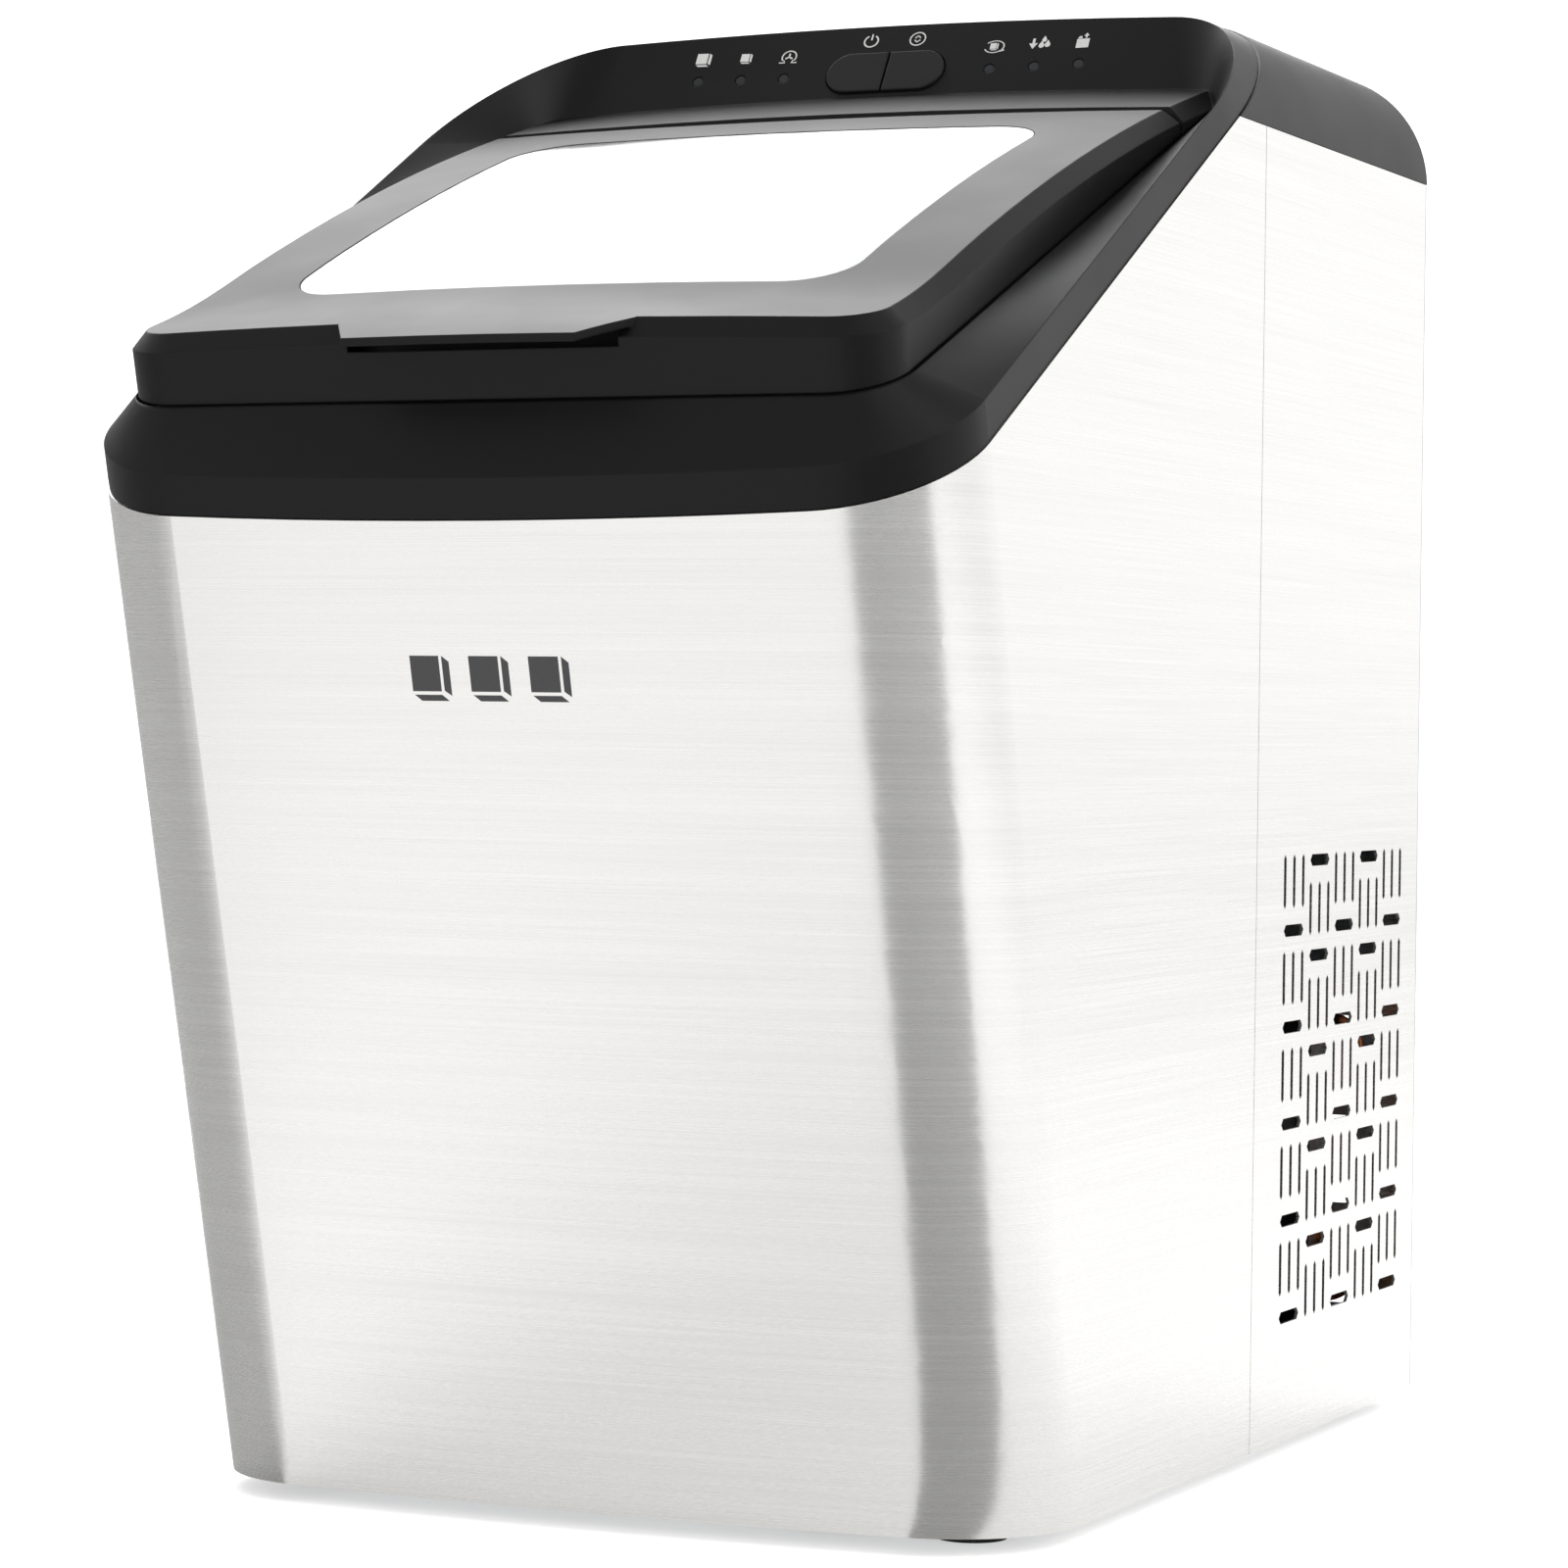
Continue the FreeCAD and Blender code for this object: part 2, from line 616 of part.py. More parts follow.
def inner_liner():
    high = 400
    outer = leaning(LINER_HALF, LINER_FRONT, LINER_REAR, 24, LINER_FLOOR, high)
    inner = leaning(LINER_HALF - LINER_WALL, LINER_FRONT - LINER_WALL, LINER_REAR - LINER_WALL,
                    24 - LINER_WALL, LINER_FLOOR + LINER_WALL, high)
    lip = leaning(LINER_HALF + 4, LINER_FRONT + 4, LINER_REAR + 2, 28, LINER_FLOOR, high)
    top = -LEDGE_DEPTH - LEDGE_THICK - 0.3
    body = joined([outer.common(under(RIM, top)), lip.common(slab(RIM, top - 2, top))]).cut(inner)
    holes = [stub_bore(sign * STUB_X, 4.3) for sign in (-1, 1)]
    holes.append(stub_bore(0, 2.0))
    holes.append(cylinder(6.05, V(*DRAIN, LINER_FLOOR - 1), V(*DRAIN, LINER_FLOOR + 9)))
    return without(body, holes)


def stub_bore(x, radius):
    return cylinder(radius, V(x, LINER_REAR - 8, EVAPORATOR_Z), V(x, BULKHEAD_Y + 8, EVAPORATOR_Z))


def foam_insulation():
    body = envelope(STEEL + 0.8).common(box(-200, 200, -FAR, LINER_REAR - 0.5, 13, FAR))
    body = body.common(under(SEAM, -STEEL - 0.5)).common(under(RIM, -LEDGE_DEPTH - LEDGE_THICK - 3))
    core = leaning(LINER_HALF + 0.4, LINER_FRONT + 0.4, 0, 24.4, LINER_FLOOR - 0.4, 420)
    rail = leaning(LINER_HALF + 4.4, LINER_FRONT + 4.4, 0, 28.4, LINER_FLOOR, 420)
    rail = rail.common(over(RIM, -LEDGE_DEPTH - LEDGE_THICK - 3))
    drain = cylinder(11, V(*DRAIN, 5), V(*DRAIN, 30))
    return without(body, [core, rail, drain])


def tank_deck():
    plate = leaning(LINER_HALF - LINER_WALL - 0.6, LINER_FRONT - LINER_WALL - 0.6, LINER_REAR - LINER_WALL - 0.6,
                    20, DECK_Z, DECK_Z + 2.5)
    slots = []
    for column in range(-5, 6):
        slots.append(upright(3, -335, -285, 2.9, 2.9, DECK_Z - 5, DECK_Z + 9).translated(V(column * 15, 0, 0)))
    slots.append(cylinder(6.6, V(*HOSE, DECK_Z - 5), V(*HOSE, DECK_Z + 9)))
    legs = []
    for x in (-80, 80):
        for y in (-310, -262):
            legs.append(cylinder(4, V(x, y, LINER_FLOOR + LINER_WALL), V(x, y, DECK_Z)))
    return joined([without(plate, slots)] + legs)


def ice_basket():
    outer = leaning(BASKET_HALF, BASKET_FRONT, BASKET_REAR, 16, BASKET_FLOOR, BASKET_TOP)
    rim = leaning(BASKET_HALF + 3, BASKET_FRONT + 3, BASKET_REAR + 3, 19, BASKET_TOP - 2.5, BASKET_TOP)
    inner = leaning(BASKET_HALF - 2.2, BASKET_FRONT - 2.2, BASKET_REAR - 2.2, 13.8, BASKET_FLOOR + 2.2, 260)
    body = joined([outer, rim]).cut(inner)
    cutters = []
    for column in range(-4, 5):
        x = column * 16
        for z in (112, 152):
            cutters.append(box(x - 2, x + 2, -FAR, 0, z, z + 28))
        for y in (-327, -306):
            cutters.append(box(x - 5, x + 5, y, y + 9, BASKET_FLOOR - 5, BASKET_FLOOR + 9))
    for z in (112, 152):
        for y in (-326, -310, -298):
            cutters.append(box(-120, 120, y, y + 4, z, z + 28))
    cutters.append(box(-120, 120, -345, -305, BASKET_TOP - 24, BASKET_TOP - 8))
    return without(body, cutters)


def evaporator():
    bar = box(-52, 52, EVAPORATOR_Y - 6, EVAPORATOR_Y + 6, EVAPORATOR_Z - 6, EVAPORATOR_Z + 6)
    pieces = [bar]
    for number in range(8):
        x = (number - 3.5) * 13
        pieces.append(cylinder(4.5, V(x, EVAPORATOR_Y, 290.5), V(x, EVAPORATOR_Y, EVAPORATOR_Z)))
        pieces.append(Part.makeSphere(4.5, V(x, EVAPORATOR_Y, 290.5)))
    for x in (-STUB_X, STUB_X):
        pieces.append(cylinder(4, V(x, EVAPORATOR_Y + 5, EVAPORATOR_Z), V(x, -170, EVAPORATOR_Z)))
    pieces.append(cylinder(1.6, V(0, EVAPORATOR_Y + 5, EVAPORATOR_Z), V(0, -170, EVAPORATOR_Z)))
    return joined(pieces)


def evaporator_bracket():
    wall = LINER_REAR - LINER_WALL
    top = EVAPORATOR_Z + 6
    pieces = [box(-63, 63, -252, wall, top, top + 3)]
    for sign in (-1, 1):
        x0, x1 = sorted((sign * 60, sign * 63))
        pieces.append(box(x0, x1, -225, wall, 272, top))
        x0, x1 = sorted((sign * 53.5, sign * 59.5))
        pieces.append(box(x0, x1, -252, -242, 318, top))
    body = joined(pieces)
    cutters = []
    for sign in (-1, 1):
        y, z = TRAY_PIVOT
        cutters.append(cylinder(3 + FIT, V(sign * 58, y, z), V(sign * 66, y, z)))
        x = sign * 56.5
        cutters.append(cylinder(2 + FIT, V(x, -260, 322), V(x, -235, 322)))
    return without(body, cutters)


def water_tray():
    y, z = TRAY_PIVOT
    outer = box(-57.5, 57.5, -262, -218, 276, 302)
    inner = box(-55.5, 55.5, -260, -220, 278, 320)
    pieces = [outer.cut(inner)]
    for sign in (-1, 1):
        ear = side_profile([(-222, 276), (y, z - 6), (y, z + 6), (-222, 300)], 55.5, 57.5)
        ear = ear.fuse(cylinder(6, V(55.5, y, z), V(57.5, y, z)))
        reach = 66 if sign > 0 else 72
        pieces.append(ear if sign > 0 else mirrored(ear))
        pieces.append(cylinder(3, V(sign * 55.5, y, z), V(sign * reach, y, z)))
    return joined(pieces)


def tray_motor():
    y, z = TRAY_PIVOT
    body = box(-90, -68, -234, -194, 268, 304)
    shoulder = cylinder(11, V(-68, y, z), V(-66.5, y, z))
    ears = box(-72, -68, -240, -188.5, 296, 304)
    bore = cylinder(3 + FIT, V(-72.5, y, z), V(-60, y, z))
    return joined([body, shoulder, ears]).cut(bore)


def ice_pusher():
    blade = box(-54, 54, -272, -270, 282, 314)
    teeth = [box(x - 2.2, x + 2.2, -280, -260, 270, 300) for x in [(n - 3) * 13 for n in range(7)]]
    pieces = [without(blade, teeth)]
    for sign in (-1, 1):
        x0, x1 = sorted((sign * 48, sign * 59))
        pieces.append(box(x0, x1, -272, -270, 300, 326))
        pieces.append(cylinder(2, V(sign * 56.5, -271, 322), V(sign * 56.5, -232, 322)))
    return joined(pieces)


def ice_full_sensors():
    inside = LINER_HALF - LINER_WALL
    sensor = box(inside - 9, inside, -312, -300, 270, 282)
    sensor = sensor.fuse(cylinder(2.5, V(inside - 10.5, -306, 276), V(inside - 8, -306, 276)))
    return Part.makeCompound(both_sides(sensor))


def float_guide():
    x, y = FLOAT_AT
    floor = LINER_FLOOR + LINER_WALL
    foot = cylinder(8, V(x, y, floor), V(x, y, floor + 4))
    stem = cylinder(3, V(x, y, floor), V(x, y, 74))
    stop = cylinder(5, V(x, y, 70), V(x, y, 74))
    return joined([foot, stem, stop])


def tank_float():
    x, y = FLOAT_AT
    ring = tube(11, 3 + FIT, V(x, y, 27), V(x, y, 45))
    rims = [e for e in ring.Edges if e.Curve.TypeId == "Part::GeomCircle" and e.Curve.Radius > 10]
    return ring.makeFillet(2, rims)


def water_pump():
    x, y = PUMP
    floor = LINER_FLOOR + LINER_WALL
    pieces = [cylinder(15, V(x, y, floor), V(x, y, 44)), cylinder(12, V(x, y, 44), V(x, y, 72))]
    pieces.append(cylinder(9, V(*HOSE, floor), V(*HOSE, 44)))
    pieces.append(cylinder(4, V(*HOSE, 44), V(*HOSE, 56)))
    body = joined(pieces).cut(cylinder(11, V(x, y, 26), V(x, y, 40)))
    body = body.fuse(cylinder(1.5, V(x, y, 26), V(x, y, 40)))
    return body.cut(cylinder(2.4, V(*HOSE, 30), V(*HOSE, 60)))


def pump_impeller():
    x, y = PUMP
    pieces = [cylinder(10, V(x, y, 27), V(x, y, 29)), cylinder(4, V(x, y, 27), V(x, y, 39))]
    for number in range(6):
        vane = box(3, 9.5, -0.8, 0.8, 29, 39)
        vane.rotate(V(0, 0, 0), V(0, 0, 1), 60 * number)
        pieces.append(vane.translated(V(x, y, 0)))
    return joined(pieces).cut(cylinder(1.5 + FIT, V(x, y, 20), V(x, y, 45)))


def pump_hose():
    points = [V(*HOSE, 46), V(*HOSE, 309), V(HOSE[0], -255, 309), V(47, -255, 309)]
    return route(points, 6, 14).cut(route(points, 4.02, 14))


def bulkhead():
    sheet = box(-120, 120, BULKHEAD_Y, BULKHEAD_Y + 1.2, 2.5, 358)
    foot = box(-120, 120, BULKHEAD_Y, BULKHEAD_Y + 12, 2.5, 3.7)
    return without(sheet.fuse(foot), [stub_bore(-STUB_X, 4.6), stub_bore(STUB_X, 4.6), stub_bore(0, 2.2)])


def compressor():
    x, y = COMPRESSOR
    shell = cylinder(44, V(x, y, 24), V(x, y, 124))
    shell = shell.makeFillet(24, [e for e in shell.Edges if e.Closed])
    pieces = [shell, box(x - 50, x + 50, y - 50, y + 50, 18, 20.5), cylinder(26, V(x, y, 20), V(x, y, 30))]
    for side in (-18, 18):
        pieces.append(cylinder(3.2, V(x + side, y, 110), V(x + side, y, 134)))
    pieces.append(tube(45, 43, V(x, y, 72), V(x, y, 76)))
    holes = [cylinder(4.05, V(a, b, 15), V(a, b, 25)) for a, b in COMPRESSOR_FEET]
    return without(joined(pieces), holes)


def compressor_grommets():
    rings = []
    for x, y in COMPRESSOR_FEET:
        ring = cylinder(8, V(x, y, 2.5), V(x, y, 18)).fuse(cylinder(4, V(x, y, 18), V(x, y, 22)))
        rings.append(ring.cut(cylinder(2.6, V(x, y, 0), V(x, y, 30))))
    return Part.makeCompound(rings)


def compressor_bolts():
    bolts = []
    for x, y in COMPRESSOR_FEET:
        points = [V(x + 5 * math.cos(k * math.pi / 3), y + 5 * math.sin(k * math.pi / 3), 22) for k in range(7)]
        nut = Part.Face(Part.makePolygon(points)).extrude(V(0, 0, 4))
        bolts.append(nut.fuse(cylinder(2.5, V(x, y, 2.5), V(x, y, 29))))
    return Part.makeCompound(bolts)


def terminal_cover():
    x, y = COMPRESSOR
    block = box(x - 14, x + 14, y + 30, y + 58, 40, 70)
    return block.cut(cylinder(44.3, V(x, y, 0), V(x, y, 200))).cut(cylinder(45.3, V(x, y, 71), V(x, y, 77)))


def condenser_tube():
    left, right = CONDENSER_X[0] - 2, CONDENSER_X[1] + 2
    bend = 8.5
    edges = []
    for number, z in enumerate(CONDENSER_PASSES):
        start_x, end_x = (left, right) if number % 2 == 0 else (right, left)
        first = 0.0 if number == 0 else start_x
        last = 2.0 if number == 5 else end_x
        edges.append(line(V(first, CONDENSER_Y, z), V(last, CONDENSER_Y, z)))
        if number < 5:
            outward = bend if number % 2 == 0 else -bend
            turn = V(end_x + outward, CONDENSER_Y, z - bend)
            edges.append(arc(V(end_x, CONDENSER_Y, z), turn, V(end_x, CONDENSER_Y, z - 2 * bend)))
    ring = Part.Wire(Part.makeCircle(3, V(0, CONDENSER_Y, CONDENSER_PASSES[0]), V(1, 0, 0)))
    return Part.Wire(edges).makePipeShell([ring], True, True)


def condenser_fins():
    fin = box(CONDENSER_X[0], CONDENSER_X[0] + 0.5, CONDENSER_Y - 11, CONDENSER_Y + 11, 24, 128)
    bores = [cylinder(3.04, V(0, CONDENSER_Y, z), V(20, CONDENSER_Y, z)) for z in CONDENSER_PASSES]
    fin = without(fin, bores)
    count = 20
    pitch = (CONDENSER_X[1] - CONDENSER_X[0] - 0.5) / (count - 1)
    return Part.makeCompound([fin.translated(V(n * pitch, 0, 0)) for n in range(count)])


def fan_shroud():
    x, z = FAN
    plate = box(x - 50, x + 50, -52, -49, 24, 130)
    ring = cylinder(48, V(x, -68, z), V(x, -49, z))
    pieces = [plate, ring]
    body = joined(pieces).cut(cylinder(45.5, V(x, -70, z), V(x, -40, z)))
    arms = []
    for dx in (-44, 44):
        for dz in (-44, 44):
            arms.append(cylinder(3, V(x + dx, -90, z + dz), V(x + dx, -49, z + dz)))
    arms.append(box(x - 46, x + 46, -90, -87, z + 40, z + 47))
    arms.append(box(x - 46, x + 46, -90, -87, z - 47, z - 40))
    arms.append(box(x - 5, x + 5, -90, -87, z - 42, z + 42))
    arms.append(cylinder(23, V(x, -92, z), V(x, -86, z)))
    body = joined([body] + arms)
    return body.cut(cylinder(20.02, V(x, -95, z), V(x, -80, z)))


def fan_motor():
    x, z = FAN
    can = cylinder(20, V(x, -106, z), V(x, -76, z))
    can = can.makeFillet(3, [e for e in can.Edges if e.Closed])
    return can.fuse(cylinder(2.5, V(x, -80, z), V(x, -55, z)))


def fan_blade():
    x, z = FAN
    pieces = [cylinder(12, V(0, -68, 0), V(0, -53, 0))]
    for number in range(5):
        blade = box(-13, 13, -1, 1, 9, 43)
        blade.rotate(V(0, 0, 0), V(0, 0, 1), 28)
        blade = blade.common(cylinder(43.5, V(0, -9, 0), V(0, 9, 0)))
        blade.translate(V(0, -60.5, 0))
        blade.rotate(V(0, 0, 0), V(0, 1, 0), 72 * number)
        pieces.append(blade)
    body = joined(pieces).translated(V(x, 0, z))
    return body.cut(cylinder(2.5 + FIT, V(x, -75, z), V(x, -50, z)))


def filter_drier():
    x, y = DRIER
    low, high = 58, 136
    pieces = [cylinder(9, V(x, y, low + 12), V(x, y, high - 12))]
    pieces.append(Part.makeCone(3.2, 9, 12, V(x, y, low)))
    pieces.append(Part.makeCone(9, 3.2, 12, V(x, y, high - 12)))
    return joined(pieces)


def hot_gas_valve():
    body = box(-56, -40, -158, -142, 206, 226)
    coil = cylinder(12, V(-40, -150, 216), V(-14, -150, 216))
    cap = cylinder(5, V(-14, -150, 216), V(-10, -150, 216))
    return joined([body, coil, cap])


def discharge_pipe():
    x, y = COMPRESSOR[0] + 18, COMPRESSOR[1]
    points = [V(x, y, 134), V(x, y, 162), V(x, -32, 162), V(-12, -32, 162), V(-12, -32, 118), V(0, -32, 118)]
    branch = cylinder(2.6, V(x, -70, 162), V(x, -70, 176))
    return route(points, 3, 9).fuse(branch)


def hot_gas_inlet_pipe():
    x = COMPRESSOR[0] + 18
    return route([V(x, -70, 176), V(x, -70, 192), V(x, -150, 192), V(x, -150, 206)], 2.6, 8)


def hot_gas_outlet_pipe():
    x = COMPRESSOR[0] + 18
    points = [V(x, -150, 226), V(x, -150, 250), V(-STUB_X, -150, 275), V(-STUB_X, -150, EVAPORATOR_Z)]
    return route(points + [V(-STUB_X, -170, EVAPORATOR_Z)], 2.6, 8)


def suction_pipe():
    x, y = COMPRESSOR[0] - 18, COMPRESSOR[1]
    points = [V(STUB_X, -170, 324), V(STUB_X, -120, 324), V(STUB_X, -120, 240), V(x, -120, 240)]
    points += [V(x, y, 240), V(x, y, 134)]
    return route(points, 3.2, 10)


def capillary_tube():
    x, y = DRIER
    points = [V(x, y, 136), V(x, y, 172), V(0, y, 172), V(0, y, 324), V(0, -170, 324)]
    return route(points, 1.2, 8)


def liquid_pipe():
    x, y = DRIER
    points = [V(2, -32, 33), V(-8, -32, 33), V(-8, -32, 12), V(-8, y, 12), V(x, y, 12), V(x, y, 58)]
    return route(points, 3, 7)


def board_bracket():
    plate = box(54, 116, BULKHEAD_Y + 1.2, BULKHEAD_Y + 3.2, 186, 304)
    posts = [cylinder(3, V(x, BULKHEAD_Y + 3.2, z), V(x, -168, z)) for x in (60, 110) for z in (192, 298)]
    return joined([plate] + posts)


def power_board():
    pieces = [box(56, 114, -168, -166.4, 188, 302)]
    pieces.append(box(62, 92, -166.4, -144, 196, 222))
    for z in (232, 250, 268):
        pieces.append(box(62, 82, -166.4, -150, z, z + 14))
    for z in (200, 224):
        pieces.append(cylinder(6, V(103, -166.4, z), V(103, -146, z)))
    pieces.append(box(90, 108, -166.4, -154, 240, 292))
    return joined(pieces)


def control_board():
    board = box(-72, 72, 5, 29, -11.6, -10)
    pieces = [board]
    for x in (-40, 30):
        pieces.append(box(x, x + 14, 9, 21, -13.6, -11.6))
    return on_panel(joined(pieces))


def button_switches():
    switch = box(6, 12, -3, 3, -10, -7.9).fuse(cylinder(1.6, V(9, 0, -8), V(9, 0, -7.7)))
    return Part.makeCompound([on_panel(s, 0, BUTTON_SLOPE) for s in both_sides(switch)])


def led_lenses():
    lenses = []
    for sign in (-1, 1):
        for x in LED_X:
            rise = panel_rise(x, LED_SLOPE) - LED_SUNK
            body = cylinder(LED_RADIUS, V(0, 0, -9.9 - rise), V(0, 0, -0.8))
            dome = Part.makeSphere(LED_RADIUS, V(0, 0, -0.8))
            flat = body.fuse(dome.common(box(-5, 5, -5, 5, -5, 0)))
            lenses.append(on_panel(flat, sign * x, LED_SLOPE, rise))
    return Part.makeCompound(lenses)


def cord_gland():
    x, z = GLAND
    pieces = [cylinder(10, V(x, 0, z), V(x, 3, z)), cylinder(8, V(x, -6, z), V(x, 0, z))]
    pieces.append(Part.makeCone(7.0, 5.4, 8, V(x, -6, z), V(0, -1, 0)))
    return joined(pieces).cut(cylinder(3.7, V(x, -20, z), V(x, 10, z)))


def drain_spout():
    low, high = 3.2, LINER_FLOOR + LINER_WALL + 1
    pipe = cylinder(6.0, V(*DRAIN, low), V(*DRAIN, high))
    collar = cylinder(9, V(*DRAIN, 8), V(*DRAIN, 19.6))
    return joined([pipe, collar]).cut(cylinder(4.0 + FIT, V(*DRAIN, 0), V(*DRAIN, 40)))


def drain_plug():
    head = cylinder(12, V(*DRAIN, -3.2), V(*DRAIN, 1.2))
    stem = cylinder(4.0, V(*DRAIN, 1), V(*DRAIN, 16))
    grip = box(DRAIN[0] - 10, DRAIN[0] + 10, DRAIN[1] - 1.6, DRAIN[1] + 1.6, -4.4, -3.2)
    return joined([head, stem, grip])


def build():
    nodes = {
        "front_wrap": front_wrap(),
        "side_panel_right": side_panel(),
        "side_panel_left": mirrored(side_panel()),
        "back_panel": back_panel(),
        "rear_cover": rear_cover(),
        "base_pan": base_pan(),
        "rubber_feet": rubber_feet(),
        "foot_screws": foot_screws(),
        "back_screws": back_screws(),
        "cover_screws": cover_screws(),
        "top_frame": top_frame(),
        "led_lenses": led_lenses(),
        "control_board": control_board(),
        "button_switches": button_switches(),
        "select_button": on_panel(button(), 0, BUTTON_SLOPE),
        "power_button": on_panel(mirrored(button()), 0, BUTTON_SLOPE),
        "lid_frame": lid_frame(),
        "lid_window": lid_window(),
        "lid_gasket": lid_gasket(),
        "lid_hinge_pins": hinge_pins(),
        "inner_liner": inner_liner(),
        "foam_insulation": foam_insulation(),
        "tank_deck": tank_deck(),
        "ice_basket": ice_basket(),
        "evaporator": evaporator(),
        "evaporator_bracket": evaporator_bracket(),
        "water_tray": water_tray(),
        "tray_motor": tray_motor(),
        "ice_pusher": ice_pusher(),
        "ice_full_sensors": ice_full_sensors(),
        "float_guide": float_guide(),
        "tank_float": tank_float(),
        "water_pump": water_pump(),
        "pump_impeller": pump_impeller(),
        "pump_hose": pump_hose(),
        "drain_spout": drain_spout(),
        "drain_plug": drain_plug(),
        "bulkhead": bulkhead(),
        "compressor": compressor(),
        "compressor_grommets": compressor_grommets(),
        "compressor_bolts": compressor_bolts(),
        "terminal_cover": terminal_cover(),
        "condenser_tube": condenser_tube(),
        "condenser_fins": condenser_fins(),
        "fan_shroud": fan_shroud(),
        "fan_motor": fan_motor(),
        "fan_blade": fan_blade(),
        "filter_drier": filter_drier(),
        "hot_gas_valve": hot_gas_valve(),
        "discharge_pipe": discharge_pipe(),
        "hot_gas_inlet_pipe": hot_gas_inlet_pipe(),
        "hot_gas_outlet_pipe": hot_gas_outlet_pipe(),
        "suction_pipe": suction_pipe(),
        "capillary_tube": capillary_tube(),
        "liquid_pipe": liquid_pipe(),
        "board_bracket": board_bracket(),
        "power_board": power_board(),
        "cord_gland": cord_gland(),
    }
    bounds = Part.makeCompound(list(nodes.values())).optimalBoundingBox()
    centre = V((bounds.XMin + bounds.XMax) / 2, (bounds.YMin + bounds.YMax) / 2, bounds.ZMin)
    print("moved by", -centre.x, -centre.y, -centre.z)
    for name, shape in nodes.items():
        moved = shape.translated(-centre)
        print(name, len(moved.Solids), moved.isValid(), round(moved.Volume, 1))
        moved.exportStep(os.path.join("parts", name + ".step"))


build()
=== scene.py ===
import json
import math

import bmesh
import bpy
from mathutils import Matrix, Vector
from mathutils.bvhtree import BVHTree


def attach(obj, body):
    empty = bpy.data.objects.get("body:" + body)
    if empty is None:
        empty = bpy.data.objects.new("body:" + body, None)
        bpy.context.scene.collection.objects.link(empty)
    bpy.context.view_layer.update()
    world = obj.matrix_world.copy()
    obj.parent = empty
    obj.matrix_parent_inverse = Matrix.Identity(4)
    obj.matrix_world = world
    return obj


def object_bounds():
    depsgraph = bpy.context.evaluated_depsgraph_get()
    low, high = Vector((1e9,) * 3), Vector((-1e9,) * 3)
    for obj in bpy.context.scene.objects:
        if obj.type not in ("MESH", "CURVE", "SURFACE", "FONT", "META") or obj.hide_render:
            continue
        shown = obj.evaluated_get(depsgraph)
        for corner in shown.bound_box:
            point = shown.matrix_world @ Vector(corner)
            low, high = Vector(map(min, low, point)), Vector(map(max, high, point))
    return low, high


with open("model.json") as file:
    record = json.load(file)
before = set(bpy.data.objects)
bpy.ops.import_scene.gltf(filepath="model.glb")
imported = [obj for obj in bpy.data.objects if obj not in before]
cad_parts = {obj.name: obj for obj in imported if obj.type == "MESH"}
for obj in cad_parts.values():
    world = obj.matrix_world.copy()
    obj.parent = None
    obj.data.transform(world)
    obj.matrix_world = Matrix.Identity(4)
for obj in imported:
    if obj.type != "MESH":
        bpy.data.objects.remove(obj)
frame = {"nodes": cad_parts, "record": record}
CAD_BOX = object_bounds()

bl_info = {
    "name": "Countertop Ice Maker",
    "version": (1, 0, 0),
    "blender": (4, 5, 0),
    "location": "3D View > Sidebar > Ice Maker",
    "description": "Finishes, printed details and stage of a countertop ice maker",
    "category": "Object",
}

MM = 0.001
REAR_PANEL_Y = CAD_BOX[1][1] - 3.0 * MM
STEEL_FOOT_Z = CAD_BOX[0][2] + 5.0 * MM

# the control panel's lower edge and its tilt, in the cabinet's own millimetres
PANEL_EDGE = (-156.0, 391.06)
PANEL_TILT = math.radians(57.7)

# where the printed symbols stand: across from the middle, up the slope
SYMBOL_ROW = 24.6
KEY_SYMBOL_ROW = 29.4
SYMBOL_PLACES = (33.5, 47.8, 62.0)
KEY_SYMBOL_PLACE = 7.6

# the emblem on the steel front
EMBLEM_HEIGHT = 220.0
EMBLEM_CUBE = 11.0
EMBLEM_PITCH = 17.0

# the printed outlines are cast on the pieces from this far off the panel, and from this far forward
RAY_START = 15.0
RAY_FRONT = -460.0


def linear(value):
    """One sRGB hex colour as linear red, green, blue and alpha."""
    channels = [int(value[i:i + 2], 16) / 255 for i in (0, 2, 4)]
    return tuple(c / 12.92 if c <= 0.04045 else ((c + 0.055) / 1.055) ** 2.4 for c in channels) + (1.0,)


def at(x, y, z):
    """A place given in the cabinet's own millimetres: Y from the rear panel, Z from the steel's foot."""
    return Vector((x * MM, REAR_PANEL_Y + y * MM, STEEL_FOOT_Z + z * MM))


# ---------------------------------------------------------------- settings


class StageSettings(bpy.types.PropertyGroup):
    floor_colour: bpy.props.StringProperty(
        name="Floor colour", description="sRGB hex colour of the floor", default="F6F6F6")
    rear_light: bpy.props.FloatProperty(
        name="Rear softbox", description="Radiance of the large softbox above and behind the cabinet",
        default=2.8, min=0.0)
    side_light: bpy.props.FloatProperty(
        name="Side softbox", description="Radiance of the softbox high on the right",
        default=4.0, min=0.0)
    studio_light: bpy.props.FloatProperty(
        name="Studio walls", description="Radiance of the surrounding studio walls",
        default=1.25, min=0.0)
    lens: bpy.props.FloatProperty(
        name="Lens", description="Focal length of the camera on a 36 mm sensor",
        default=110.21, min=10.0)


